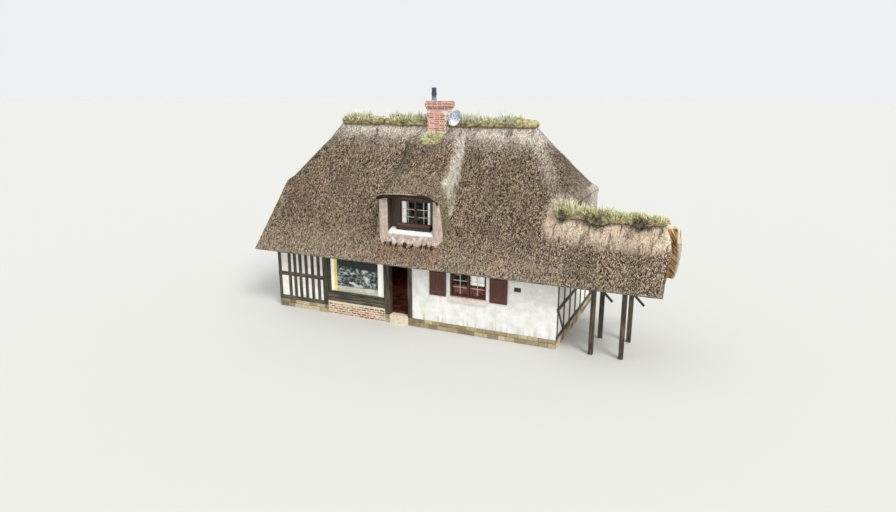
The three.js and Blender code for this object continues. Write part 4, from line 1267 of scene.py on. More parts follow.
def growMossClump():
    (cx, cy), (rx, ry), steps = mossClump["centre"], mossClump["reach"], mossClump["steps"]
    u, v = (side.ravel() for side in np.meshgrid(*[np.linspace(-1, 1, steps)] * 2, indexing="ij"))
    # a square of points drawn in to a disc
    across, along = u * np.sqrt(1 - v * v / 2), v * np.sqrt(1 - u * u / 2)
    away = np.hypot(across, along)
    edge = 1 + uneven(np.stack([u, v, u * 0], -1), (0.15, 0.6, 121))
    x, y = cx + across * rx * edge, cy + along * ry * edge
    normals = slopeNormal(houseTop, x, y)
    points = np.stack([x, y, houseTop(x, y)], -1)
    crown = np.sqrt(np.clip(1 - away ** 2, 0, 1)) * mossClump["height"]
    points += normals * (crown - mossClump["sunk"])[:, None]
    points += normals * (uneven(points, (0.03, 0.13, 122)) * (away < 0.95))[:, None]
    # painted shade round the clump's edge, where it meets the thatch
    layers = {"dark": way(away, 0.85, 1) * 0.6, "moss": np.ones(len(points))}
    makePiece("moss_clump", points, gridFaces(steps, steps), "turf", "turf", layers=layers)
    for finish, seed in (("greenGrass", 123), ("dryGrass", 124)):
        growGrass("moss_clump_" + finish, points[away < 0.85], [(cx, rx * 0.9, 1.0)], finish, 150, 14, 0.16,
                  seed)


growMossClump()
print("turf and grass grown")


# Loose reed ends on the thatch

reed = {"length": (0.03, 0.08), "width": (0.014, 0.030), "lift": (0.006, 0.030), "sunk": 0.006,
        "wander": 0.28, "bright": 0.76, "shadow": 0.34, "margin": 0.03}


def reedEnds(name, top, count, area, seed, keep=None):
    random = np.random.default_rng(seed)
    x = random.uniform(area[0], area[1], count)
    y = random.uniform(area[2], area[3], count)
    if keep:
        chosen = keep(x, y)
        x, y = x[chosen], y[chosen]
    points, normals = shaggy(top, x, y)
    count = len(points)
    nx, ny, nz = normals.T
    down = np.stack([nx * nz, ny * nz, nz ** 2 - 1], -1)
    down /= np.linalg.norm(down, axis=1, keepdims=True) + 1e-9
    side = np.cross(down, normals)
    along = down + side * random.normal(0, reed["wander"], count)[:, None]
    length, width, lift = (random.uniform(*reed[size], count)[:, None]
                           for size in ("length", "width", "lift"))
    root = points - normals * reed["sunk"]
    tip = root + along * length + normals * lift
    corners = np.stack([root - side * width / 2, root + side * width / 2,
                        tip + side * width / 4, tip - side * width / 4], 1)
    layers = weatherAndLightLayers(points, normals)
    # about a quarter of the ends are bright and a third lie in shadow
    draw, depth = random.uniform(0, 1, count), random.uniform(0.45, 1, count)
    layers["bright"] = depth * (draw > reed["bright"])
    layers["shadow"] = depth * (draw < reed["shadow"])
    layers = {key: np.repeat(value, 4, axis=0) for key, value in layers.items()}
    faces = np.arange(count * 4).reshape(-1, 4)
    makePiece(name, corners.reshape(-1, 3), faces, "thatch", "thatch", smooth=False, layers=layers)


def onMainRoof(x, y):
    inside = (x > leftEnd(y) + 0.05) & (x < rightEnd(y) - 0.05)
    nearBay = (x > dormer["left"] - coat["flank"]) & (x < dormer["right"] + coat["flank"])
    return inside & ~(nearBay & (np.abs(y - dormer["face"]) < 0.02))


def belowDormer(x, y):
    bay = (x > dormer["left"]) & (x < dormer["right"])
    return onMainRoof(x, y) & ~(bay & (y > dormer["edge"]) & (y < dormer["face"]))


def layReedEnds():
    margin, rightEdge = reed["margin"], roof["rightEdge"]
    front = margin - roof["eaveOut"]
    # surface, how many, area over the plan from left to right and front to back, seed
    areas = {
        "front_left": (beforeFace, 62000, (-6.2, 0.9, front, ridgeY), 91, belowDormer),
        "front_right": (beforeFace, 58000, (0.9, 7.13, front, ridgeY), 92, belowDormer),
        "back": (mainTop, 70000, (-6.2, 7.5, ridgeY, 2 * ridgeY - front), 93, onMainRoof),
        "shed": (shedFront, 15000, (rightEdge, wing["ridgeEnd"] + 0.05, front, shedRidge), 94),
        "shed_back": (shedBack, 12000, (rightEdge + 0.1, wing["backEaveEnd"] + 0.09, shedRidge,
                                        2 * shedRidge - front), 95),
        "brow": (browTop, 2400, (dormer["left"] + 0.05, dormer["right"] - 0.05, dormer["edge"] + 0.04,
                                 dormer["face"]), 96),
    }
    for name, area in areas.items():
        reedEnds("reed_ends_" + name, *area)


layReedEnds()
print("reed ends laid")


# CAD pieces that keep their shape get their finish here

dressed = {
    "lime": ["front_wall_left", "front_wall_right", "back_wall", "gable_left", "gable_right"],
    "greyBoard": ["dormer_frame"],
    "level": ["front_plate", "door_head", "attic_floor", "shed_plate_front", "shed_plate_back",
              "picture_window_frame"],
    "upright": ["door_jamb", "door_leaf", "shed_post_front_1", "shed_post_front_2", "shed_post_back_1",
                "shed_post_back_2"],
    "redUpright": ["casement_frame", "shutter_left", "shutter_right", "slot_window",
                   "back_window_left", "back_window_right", "gable_window_left", "gable_window_right"],
    "glass": ["casement_glass", "dormer_glass"],
    "stone": ["floor_slab"],
    "cream": ["window_board"],
    "paleMortar": ["brick_plinth", "threshold"],
    "pinkMortar": ["chimney_stack", "casement_sill"],
    "cheek": ["dormer_cheek_left"],
    "iron": ["flue_pipe"],
    "dish": ["satellite_dish"],
}
for finishName, names in dressed.items():
    for name in names:
        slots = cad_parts[name].data.materials
        slots.clear()
        slots.append(finishes[finishName])
print("frame pieces dressed")


# Oak posts and beams, hewn by hand

def hewn(pile, low, high, axis, wobble=0.005, bevel=0.014):
    others = [(axis + 1) % 3, (axis + 2) % 3]
    low, high = np.asarray(low, float), np.asarray(high, float)
    half, centre = ((high - low) / 2)[others], ((high + low) / 2)[others]
    ring = []
    for sx, sy in ((-1, -1), (1, -1), (1, 1), (-1, 1)):
        first = [sx * half[0], sy * (half[1] - bevel)]
        second = [sx * (half[0] - bevel), sy * half[1]]
        ring += [first, second] if sx * sy > 0 else [second, first]
    ring = np.array(ring)
    rings = []
    for t in spaced(low[axis], high[axis], 0.2):
        section = np.zeros((len(ring), 3))
        section[:, others] = centre + ring
        section[:, axis] = t
        shift = np.stack([lumps(section, 0.23, 3), lumps(section, 0.23, 4)], -1) * wobble
        section[:, others] += shift - np.sign(ring) * wobble
        rings.append(section)
    pile.loft(rings)


for node in ("corner_post", "door_post"):
    post = Pile()
    hewn(post, *nodeBox(node), 2)
    post.piece("oak_" + node, "upright", "timber", replaces=[node])


sillBeam = {"lower": 0.165, "joint": 0.012, "setBack": 0.006,
            "boardTall": 0.022, "boardWide": 0.2, "boardGap": 0.012, "boardProud": 0.004, "boardBack": 0.058}


def buildSillBeam():
    # two hewn beams on each other, with a row of short boards over them
    low, high = nodeBox("sill_beam")
    middle, boards = low[2] + sillBeam["lower"], high[2] - sillBeam["boardTall"]
    pile = Pile()
    hewn(pile, low, (high[0], high[1], middle), 0)
    back = low[1] + sillBeam["setBack"]
    hewn(pile, (low[0], back, middle + sillBeam["joint"]), (high[0], high[1], boards), 0)
    edges = np.linspace(low[0], high[0], int((high[0] - low[0]) / sillBeam["boardWide"]) + 1)
    for start, end in zip(edges, edges[1:]):
        pile.box((start + sillBeam["boardGap"], low[1] - sillBeam["boardProud"], boards),
                 (end, sillBeam["boardBack"], high[2]), 0.005)
    pile.piece("oak_sill_beam", "level", "timber", replaces=["sill_beam"])


buildSillBeam()


# Oak studs and rails let into the white walls

framing = {
    "proud": 0.022, "deep": 0.02, "stud": 0.15, "rail": 0.17, "wobble": 0.004, "storey": 2.72,
    "frontStart": -5.5, "frontStuds": (-5.42, -4.91, -4.63, -4.35, -4.045, -3.73, -3.42), "frontRail": 1.5,
    "backStuds": (-4.4, -0.9, -0.1, 0.7, 1.5, 5.0, 5.9), "backRail": 1.4,
    "corner": 0.08, "gableStuds": 8, "upperStuds": (1.05, 1.9, 4.74, 5.58), "brace": 0.13,
}
wallBase = nodeBox("front_wall_left")[0][2]
halfRail = framing["rail"] / 2


def onWall(axis, along, across, height):
    # a point of a wall that runs along x (0) or y (1)
    return (along, across, height) if axis == 0 else (across, along, height)


class Framing:
    # timbers on one wall, placed by their distance along it and their height
    def __init__(self, face, axis, outward):
        self.depth = face + outward * (framing["proud"] - framing["deep"]) / 2
        self.axis, self.outward = axis, outward
        self.uprights, self.levels = Pile(7), Pile(8)

    def timber(self, start, end, width):
        pile = self.levels if abs(end[0] - start[0]) > abs(end[1] - start[1]) else self.uprights
        first, last = (onWall(self.axis, along, self.depth, height) for along, height in (start, end))
        pile.bar(first, last, width, framing["proud"] + framing["deep"],
                 onWall(self.axis, 0, self.outward, 0), framing["wobble"])

    def studs(self, places, low, high):
        for along in places:
            self.timber((along, low), (along, high), framing["stud"])

    def rails(self, heights, start, end):
        for height in heights:
            self.timber((start, height), (end, height), framing["rail"])

    def done(self, name):
        self.uprights.piece(name + "_studs", "upright", "timber")
        self.levels.piece(name + "_rails", "level" if self.axis == 0 else "deep", "timber")


def frameFront():
    front, top = Framing(0.0, 0, -1), framing["storey"]
    front.studs(framing["frontStuds"], wallBase, top)
    front.rails((wallBase + halfRail, framing["frontRail"], top - halfRail), framing["frontStart"],
                nodeBox("corner_post")[0][0])
    front.done("front_wall")


def frameBack():
    back, top = Framing(nodeBox("back_wall")[1][1], 0, 1), framing["storey"]
    windows = [nodeBox("back_window_left"), nodeBox("back_window_right")]
    start = nodeBox("gable_left")[0][0] + framing["corner"]
    end = nodeBox("gable_right")[1][0] - framing["corner"]
    half = framing["stud"] / 2
    beside = [x for low, high in windows for x in (low[0] - half, high[0] + half)]
    back.studs([start, end, *beside, *framing["backStuds"]], wallBase, top)
    stops = [start, *(x for low, high in windows for x in (low[0], high[0])), end]
    for left, right in zip(stops[::2], stops[1::2]):
        back.rails((framing["backRail"],), left, right)
    back.rails((wallBase + halfRail, top - halfRail), start, end)
    for low, high in windows:
        back.rails((windows[0][0][2] - halfRail,), low[0], high[0])
    back.done("back_wall")


def frameGable(side, outward):
    low, high = nodeBox("gable_" + side)
    window = nodeBox("gable_window_" + side)
    corner, deep, top = framing["corner"], 2 * ridgeY, framing["storey"]
    wall = Framing(low[0] if outward < 0 else high[0], 1, outward)
    wall.studs(np.linspace(corner, deep - corner, framing["gableStuds"]), wallBase, top)
    # the upper studs stop under the reed
    first, second, *others = framing["upperStuds"]
    for y in (first, second, window[0][1] - corner, window[1][1] + corner, *others):
        under = float(mainUnder(low[:1], np.array([y]))[0])
        wall.studs((y,), top, min(under, high[2] - 0.1) - 0.02)
    wall.rails((wallBase + halfRail, framing["frontRail"], top + halfRail), 0.0, deep)
    wall.rails((window[0][2] - halfRail,), 1.0, deep - 1.0)
    wall.rails((window[1][2] + halfRail,), 1.55, deep - 1.55)
    # a slanting brace at either corner
    for foot, head in ((0.95, 0.15), (deep - 0.95, deep - 0.15)):
        wall.timber((foot, wallBase + 0.15), (head, 1.42), framing["brace"])
    wall.done("gable_" + side)


frameFront()
frameBack()
frameGable("left", -1)
frameGable("right", 1)
print("timber framing set")


# Bricks of the plinth and the chimney

brick = {"length": 0.215, "joint": 0.02, "depth": 0.05, "proud": 0.006, "least": 0.03, "bevel": 0.004}


def brickRow(pile, span, wall, z, height, offset, wash, wild=0.0015, joint=brick["joint"], fired=1.0):
    # wall is the axis it runs along, where its face is on the other one and the way it looks out
    axis, face, outward = wall
    random = pile.random
    at = span[0] - offset * (brick["length"] + joint)
    while at < span[1]:
        start, end = max(at, span[0]), min(at + brick["length"], span[1])
        at += brick["length"] + joint
        if end - start < brick["least"]:
            continue
        outside = face + outward * (brick["proud"] + random.uniform(-wild, wild))
        near, far = sorted((face - outward * brick["depth"], outside))
        lift = random.uniform(-wild, wild)
        pile.box(onWall(axis, start, near, z + lift), onWall(axis, end, far, z + height + lift),
                 brick["bevel"] + wild, shade=random.uniform(0, fired), wash=wash(random))


def brickShaft(pile, low, high, bottom, top, course, wash, fired=1.0):
    rows = max(1, int(round((top - bottom) / course)))
    pitch = (top - bottom) / rows
    for i in range(rows):
        z = bottom + i * pitch + brick["joint"] / 2
        for axis, sides in ((0, ("front", "back")), (1, ("left", "right"))):
            # at the corners one side and then the other runs through
            through = (i + axis) % 2
            shift = -brick["proud"] if through else brick["depth"] + brick["joint"]
            span = (low[axis] + shift, high[axis] - shift)
            for side, corner, outward in zip(sides, (low, high), (-1, 1)):
                brickRow(pile, span, (axis, corner[1 - axis], outward), z, pitch - brick["joint"],
                         0.5 * through, wash(side, z), fired=fired)


chimney = {
    "foot": 7.0, "course": 0.076, "corbelCourse": 0.068,
    "corbels": [(0.040, 0.080), (0.075, 0.190), (0.045, 0.060)],
    "wash": {"right": 1.1, "front": 0.16, "left": 0.1, "back": 0.15}, "neck": 0.2, "neckWash": 0.85,
    "headWash": 0.08, "headFired": 0.6, "fillet": 0.05, "filletStep": 0.06, "filletRough": 0.006,
}


def buildChimney():
    stack = nodeBox("chimney_stack")
    out = max(reach for reach, _ in chimney["corbels"])
    low, high = stack[0] + (out, out, 0), stack[1] - (out, out, 0)
    shaftTop = stack[1][2] - sum(height for _, height in chimney["corbels"])

    def wash(side, z):
        level = chimney["wash"][side]
        if side == "front" and shaftTop - chimney["neck"] < z < shaftTop:
            level = chimney["neckWash"]
        if z >= shaftTop - 0.001:
            level = chimney["headWash"]
        return lambda random: min(1, level * random.uniform(0.3, 1.4))

    pile = Pile(11)
    brickShaft(pile, low, high, chimney["foot"], shaftTop, chimney["course"], wash)
    z = shaftTop
    for reach, height in chimney["corbels"]:
        brickShaft(pile, low - (reach, reach, 0), high + (reach, reach, 0), z, z + height,
                   chimney["corbelCourse"], wash, chimney["headFired"])
        z += height
    pile.piece("chimney_bricks", "brick", "brick")

    # mortar fillets where the stack leaves the thatch
    fillets = Pile(12)
    xs = spaced(low[0] - 0.03, high[0] + 0.03, chimney["filletStep"])
    ys = spaced(low[1] - 0.03, ridgeY, chimney["filletStep"])
    for x, y in ((xs, low[1] - 0.01), (high[0] + 0.01, ys), (low[0] - 0.01, ys)):
        x, y = np.broadcast_arrays(x, y)
        points = np.column_stack([x, y, houseTop(x, y)])
        points += chimney["filletRough"] * fillets.random.normal(0, 1, points.shape)
        fillets.rod(points, chimney["fillet"], 7)
    fillets.piece("chimney_flashing", "paleMortar", "brick", smooth=True)


buildChimney()


plinth = {"rows": 5, "foot": 0.02, "coping": 0.045, "copingDeep": 0.08, "joint": 0.034, "wild": 0.004,
          "inset": 0.012}


def buildPlinth():
    low, high = nodeBox("brick_plinth")
    inset, top = plinth["inset"], high[2] - plinth["coping"]
    pitch = (top - plinth["foot"]) / plinth["rows"]
    pile, cap = Pile(13), Pile()
    for i in range(plinth["rows"]):
        brickRow(pile, (low[0] + inset, high[0] - inset), (0, low[1], -1), plinth["foot"] + i * pitch,
                 pitch - plinth["joint"], 0.5 * (i % 2), lambda random: random.uniform(0, 0.9) ** 2,
                 plinth["wild"], plinth["joint"])
    pile.piece("plinth_bricks", "oldBrick", "brick")
    hewn(cap, (low[0], low[1] - inset, top + 0.004),
         (high[0], low[1] + plinth["copingDeep"], high[2] - 0.001), 0, 0.006, 0.012)
    cap.piece("plinth_coping", "paleMortar", "brick")


buildPlinth()


# Field stones of the base, and floor tiles inside

stones = {"courses": ((0.0, 0.175), (0.185, 0.15)), "width": (0.2, 0.48), "deep": 0.05,
          "proud": (0.008, 0.022), "joint": 0.006, "uneven": 0.012, "bevel": 0.012}
floorTiles = {"size": 0.3, "gap": 0.006, "proud": 0.008, "thick": 0.018,
              "from": (-5.2, 0.27), "to": (6.65, 6.38)}


def buildBase():
    low, high = nodeBox("floor_slab")
    pile = Pile(15)
    random = pile.random

    def layStones(span, axis, face, outward):
        for z, tall in stones["courses"]:
            at = span[0]
            while at < span[1] - 0.05:
                wide = min(random.uniform(*stones["width"]), span[1] - at)
                outer = face + outward * random.uniform(*stones["proud"])
                near, far = sorted((face - outward * stones["deep"], outer))
                top = z + tall - random.uniform(0, stones["uneven"])
                pile.box(onWall(axis, at + stones["joint"], near, z),
                         onWall(axis, at + wide - stones["joint"], far, top), stones["bevel"],
                         shade=random.uniform(0, 1))
                at += wide

    bricks, door = nodeBox("brick_plinth"), nodeBox("threshold")
    for span in ((low[0], bricks[0][0]), (bricks[1][0], door[0][0]), (door[1][0], high[0])):
        layStones(span, 0, low[1], -1)
    layStones((low[0], high[0]), 0, high[1], 1)
    layStones((low[1], high[1]), 1, low[0], -1)
    layStones((low[1], high[1]), 1, high[0], 1)
    pile.piece("base_stones", "stone", "stone")


def buildFloorTiles():
    tiles = Pile(16)
    size, gap = floorTiles["size"], floorTiles["gap"]
    (startX, startY), (endX, endY) = floorTiles["from"], floorTiles["to"]
    top = nodeBox("floor_slab")[1][2] + floorTiles["proud"]
    for x, y in product(np.arange(startX, endX - 0.05, size), np.arange(startY, endY - 0.08, size)):
        tiles.box((x + gap, y + gap, top - floorTiles["thick"]),
                  (min(x + size, endX), min(y + size, endY), top),
                  0.002, shade=tiles.random.uniform(0, 1), wash=0.0)
    tiles.piece("floor_tiles", "tile", "stone")


buildBase()
buildFloorTiles()
print("masonry laid")


# Curtains, gathered into folds

cloth = {"rows": 16, "perFold": 12, "topFolds": 0.75, "sway": 0.06, "shake": 0.004}


def hangCurtain(name, across, height, y, folds, depth, finish, hangsFrom, replaces=()):
    rows, columns = cloth["rows"], folds * cloth["perFold"] + 1
    share, t = np.linspace(0, 1, columns), np.linspace(0, 1, rows)[:, None]
    grid = np.zeros((rows, columns, 3))
    # the folds deepen towards the hem and sway a little
    deeper = depth * (cloth["topFolds"] + (1 - cloth["topFolds"]) * t)
    grid[..., 0] = across[0] + (across[1] - across[0]) * share + cloth["shake"] * np.sin(9 * t + 20 * share)
    grid[..., 1] = y + deeper * np.sin(2 * math.pi * (folds * share + cloth["sway"] * np.sin(5 * t)))
    grid[..., 2] = height[1] - (height[1] - height[0]) * t
    grid[:, 0, 0], grid[:, -1, 0] = across
    width = float(np.linalg.norm(np.diff(grid[rows // 2], axis=0), axis=1).sum())
    piece = makePiece(name, grid.reshape(-1, 3), gridFaces(rows, columns)[:, ::-1], finish, "curtain",
                      replaces=replaces)
    height[1] - height[0]


def hangAll():
    left, right = nodeBox("curtain_left"), nodeBox("curtain_right")
    picture, casement, bay = "picture_window_frame", "casement_frame", "dormer_frame"
    y, tall, split = (left[0][1] + left[1][1]) / 2, (left[0][2], left[1][2] - 0.004), left[0][0] + 0.17
    behind = nodeBox(casement)[1][1] + 0.045
    low, high = nodeBox("dormer_glass")
    bayTall, bayBehind = (low[2], high[2]), high[1] + 0.035
    # left and right edge, height, how far back, folds and their depth, finish, what it hangs from
    for curtain in [
        ("curtain_white_left", (left[0][0], split), tall, y, 4, 0.02, "curtain", picture, ["curtain_left"]),
        ("curtain_yellow_left", (split, left[1][0]), tall, y, 2, 0.02, "yellowCloth", picture),
        ("curtain_white_right", (right[0][0], right[1][0]), tall, y, 7, 0.02, "curtain", picture,
         ["curtain_right"]),
        ("curtain_casement", (3.44, 4.06), (1.98, 2.43), behind, 7, 0.012, "curtain", casement),
        ("curtain_casement_red", (2.72, 4.06), (1.56, 1.92), behind + 0.03, 12, 0.012, "redCloth", casement),
        ("curtain_dormer_left", (low[0] + 0.03, low[0] + 0.24), bayTall, bayBehind, 3, 0.014, "curtain", bay),
        ("curtain_dormer_right", (high[0] - 0.19, high[0] - 0.03), bayTall, bayBehind, 2, 0.014, "curtain",
         bay),
    ]:
        hangCurtain(*curtain)


hangAll()


# Picture window's pane, with the painted reflection on it kept off the curtains and the board

pane = {"columns": 81, "rows": 61, "bloom": (-2.6, -0.68, 1.23), "reflectionSoft": 0.05, "darkSoft": 0.04,
        "eaveHeight": 2.1, "eaveFall": 0.08, "eaveSoft": 0.06}


def buildPane():
    low, high = nodeBox("picture_window_glass")
    columns, rows = pane["columns"], pane["rows"]
    x, z = np.meshgrid(np.linspace(low[0], high[0], columns), np.linspace(low[2], high[2], rows))
    x, z = x.ravel(), z.ravel()
    front = np.stack([x, x * 0 + low[1], z], -1)
    points = np.concatenate([front, front + (0, high[1] - low[1], 0)])
    faces = gridFaces(rows, columns)
    ring = np.arange(rows * columns).reshape(rows, columns)
    ring = np.concatenate([ring[0, :-1], ring[:-1, -1], ring[-1, :0:-1], ring[:0:-1, 0]])
    following = np.roll(ring, -1)
    back = rows * columns
    rim = np.stack([ring, ring + back, following + back, following], -1)
    left, right, sill = pane["bloom"]
    inside = np.minimum(np.minimum(x - left, right - x), z - sill)
    # the dark reflection of the eave reaches lower to the right
    eave = pane["eaveHeight"] - pane["eaveFall"] * (x - left)
    dark = way(z, eave, eave + pane["eaveSoft"]) * way(inside, 0, pane["darkSoft"])
    layers = {"bloom": np.tile(way(inside, 0, pane["reflectionSoft"]), 2), "dark": np.tile(dark, 2)}
    makePiece("picture_pane", points, np.concatenate([faces, faces[:, ::-1] + back, rim]), "glass", "glass",
              smooth=False, layers=layers, replaces=["picture_window_glass"])


buildPane()


# Sashes and glazing bars, each window drawn as seen from outside and then turned into its wall

glazing = {"sash": 0.042, "sashDeep": 0.022, "bar": 0.026, "barDeep": 0.018, "border": 0.065,
           "dormerWidth": 1.436, "dormerBorder": 0.056, "gableBorder": 0.06, "slotBorder": 0.035,
           "darkPane": 0.004}


def sashFrame(pile, left, right, low, high):
    width, deep = glazing["sash"], glazing["sashDeep"]
    for start in (left, right - width):
        pile.box((start, -deep, low), (start + width, 0, high), 0.005)
    for start in (low, high - width):
        pile.box((left + width, -deep, start), (right - width, 0, start + width), 0.005)


def sashBars(pile, left, right, low, high, columns, rows):
    # thin bars that divide one light into panes, the level ones just behind the upright ones' face
    half, deep = glazing["bar"] / 2, glazing["barDeep"]
    for x in np.linspace(left, right, columns + 1)[1:-1]:
        pile.box((x - half, -deep, low), (x + half, 0, high), 0.004)
    for z in np.linspace(low, high, rows + 1)[1:-1]:
        pile.box((left, -deep - 0.002, z - half), (right, -0.002, z + half), 0.004)


def glaze(name, place, turn, lights, height, panes=None, frameFinish="redUpright", dark=False):
    # place is the middle of the window on its glass, turn the way it looks out, in quarter turns
    sashes, bars, sheets = Pile(), Pile(), Pile()
    width = glazing["sash"]
    low, high = height
    for left, right in lights:
        if panes:
            sashFrame(sashes, left, right, low, high)
            sashBars(bars, left + width, right - width, low + width, high - width, *panes)
        if dark:
            sheets.box((left, 0.0, low), (right, glazing["darkPane"], high), 0.001)
    for pile, part, finish, slot in ((sashes, "sashes", frameFinish, "red_wood"),
                                     (bars, "bars", "creamBar", "cream"),
                                     (sheets, "panes", "darkPane", "glass")):
        if pile.points:
            pile.turned(turn, place)
            pile.piece(name + "_" + part, finish, slot)


def twoLights(width, border):
    light = (width - 3 * border) / 2
    return [(-border / 2 - light, -border / 2), (border / 2, border / 2 + light)]


def glazeAll():
    # panes is how many each light has across and up
    border, panes = glazing["border"], (2, 3)
    low, high = nodeBox("casement_frame")
    lights, height = twoLights(high[0] - low[0], border), (low[2] + border, high[2] - border)
    glass = nodeBox("casement_glass")[0][1]
    glaze("casement", ((low[0] + high[0]) / 2, glass - 0.001), 0, lights, height, panes)
    low, high = nodeBox("dormer_glass")
    glaze("dormer", ((low[0] + high[0]) / 2, low[1] - 0.001), 0,
          twoLights(glazing["dormerWidth"], glazing["dormerBorder"]), (low[2] + 0.02, high[2] - 0.02), panes,
          "greyBoard")
    # in the hidden windows a dark pane, painted shade of the room behind, lies on the outer face of the thin
    # sheet
    for side, outward in (("left", -1), ("right", 1)):
        low, high = nodeBox("back_window_" + side)
        glaze("back_window_" + side, ((low[0] + high[0]) / 2, high[1] - 0.025), 2, lights, height, panes,
              dark=True)
        low, high = nodeBox("gable_window_" + side)
        border = glazing["gableBorder"]
        glaze("gable_window_" + side, ((low[0] + high[0]) / 2 + outward * 0.01, ridgeY), outward,
              twoLights(high[1] - low[1], border), (low[2] + border, high[2] - border), (1, 3), dark=True)
    low, high = nodeBox("slot_window")
    border = glazing["slotBorder"]
    half = (high[0] - low[0]) / 2 - border
    glaze("slot_window", ((low[0] + high[0]) / 2, (low[1] + high[1]) / 2 - 0.01), 0, [(-half, half)],
          (low[2] + border, high[2] - border), dark=True)


glazeAll()


# Shutters of upright boards with two ledges

shutter = {"boards": 5, "gap": 0.003, "proud": 0.007, "back": 0.012, "trim": 0.004, "shorter": 0.006,
           "ledges": (0.17, 0.83), "ledgeHalf": 0.05, "ledgeInset": 0.03, "ledgeProud": 0.022}


def buildShutter(side):
    low, high = nodeBox("shutter_" + side)
    boards, ledges = Pile(), Pile()
    gap, trim = shutter["gap"], shutter["trim"]
    pitch = (high[0] - low[0]) / shutter["boards"]
    for i in range(shutter["boards"]):
        top = high[2] - trim - shutter["shorter"] * (i % 2)
        boards.box((low[0] + i * pitch + gap, low[1] - shutter["proud"], low[2] + trim),
                   (low[0] + (i + 1) * pitch - gap, low[1] + shutter["back"], top), 0.005)
    inset, half = shutter["ledgeInset"], shutter["ledgeHalf"]
    for share in shutter["ledges"]:
        z = low[2] + (high[2] - low[2]) * share
        ledges.box((low[0] + inset, low[1] - shutter["ledgeProud"], z - half),
                   (high[0] - inset, low[1] - 0.006, z + half), 0.006)
    boards.piece("shutter_boards_" + side, "redUpright", "red_wood")
    ledges.piece("shutter_ledges_" + side, "redLevel", "red_wood")


buildShutter("left")
buildShutter("right")


# White block that slopes down from the dormer's window to the apron, as its outline in y and z

sill = {"slope": [(0.3, 3.925), (0.16, 3.88), (0.075, 3.83), (0.045, 3.79), (0.04, 3.74)], "top": 3.95,
        "longer": 0.11, "step": 0.05, "rough": 0.006}


def buildDormerSill():
    low, high = nodeBox("dormer_sill")
    window, top = nodeBox("dormer_frame")[0][1] - 0.003, high[2] - 0.002
    outline = [(high[1], low[2]), (high[1], top), (window, top), (window, sill["top"]), *sill["slope"],
               (low[1], low[2])]
    rings = []
    for x in spaced(low[0], high[0] + sill["longer"], sill["step"]):
        ring = np.array([(x, y, z) for y, z in outline])
        worn = ring[3:9]
        worn[:, 1:] += sill["rough"] * np.stack([lumps(worn, 0.12, 6), lumps(worn, 0.12, 7)], -1)
        rings.append(ring)
    block = Pile()
    block.loft(rings)
    block.piece("dormer_sill_block", "lime", "lime", replaces=["dormer_sill"], smooth=True)


buildDormerSill()


# Flower box of planks under the dormer window

flowerBox = {"taller": 0.17, "wall": 0.028, "planks": 3, "plankGap": 0.003, "side": 0.01, "front": 0.008,
             "railTall": 0.075, "railWide": 0.05, "soilDeep": 0.06, "soilMargin": 0.03}


def buildFlowerBox():
    low, high = nodeBox("flower_box")
    high = high + (0, 0, flowerBox["taller"])
    wall, wide, gap, margin = (flowerBox[size] for size in ("wall", "railWide", "plankGap", "soilMargin"))
    planks, rail = Pile(), Pile()
    left, right, front = low[0] + flowerBox["side"], high[0] - flowerBox["side"], low[1] + flowerBox["front"]
    top, railFoot = high[2] - 0.07, high[2] - flowerBox["railTall"]
    tall = (top - low[2]) / flowerBox["planks"]
    for i in range(flowerBox["planks"]):
        z = low[2] + i * tall
        planks.box((left, front, z + gap), (right, front + wall, z + tall - gap), 0.006)
    planks.box((left, high[1] - wall, low[2]), (right, high[1], top), 0.006)
    for x in (left, right - wall):
        planks.box((x, front, low[2]), (x + wall, high[1], top), 0.006)
    for y in (low[1], high[1] - wide):
        rail.box((low[0], y, railFoot), (high[0], y + wide, high[2]), 0.009)
    for x in (low[0], high[0] - wide):
        rail.box((x, low[1], railFoot + 0.001), (x + wide, high[1], high[2] - 0.001), 0.009)
    planks.piece("flower_box_planks", "boxWood", "red_wood", replaces=["flower_box"])
    rail.piece("flower_box_rail", "redLevel", "red_wood")
    xs = spaced(low[0] + margin, high[0] - margin, 0.04)
    ys = np.linspace(low[1] + margin, high[1] - margin, 6)
    points = np.array([(x, y, high[2] - flowerBox["soilDeep"]) for x, y in product(xs, ys)])
    points[:, 2] += uneven(points, (0.014, 0.05, 5))
    makePiece("flower_box_soil", points, gridFaces(len(xs), 6)[:, ::-1], "soil", "turf")


buildFlowerBox()


# Plastered sides of the dormer, with an upright board between the window's frame and the right one

plaster = {"columns": 13, "rows": 46, "proud": 0.012, "tuck": 0.12, "curl": 0.03, "flare": 0.13,
           "flareTop": 4.9, "returnSteps": 8, "returnTo": 0.3, "clear": 0.014}


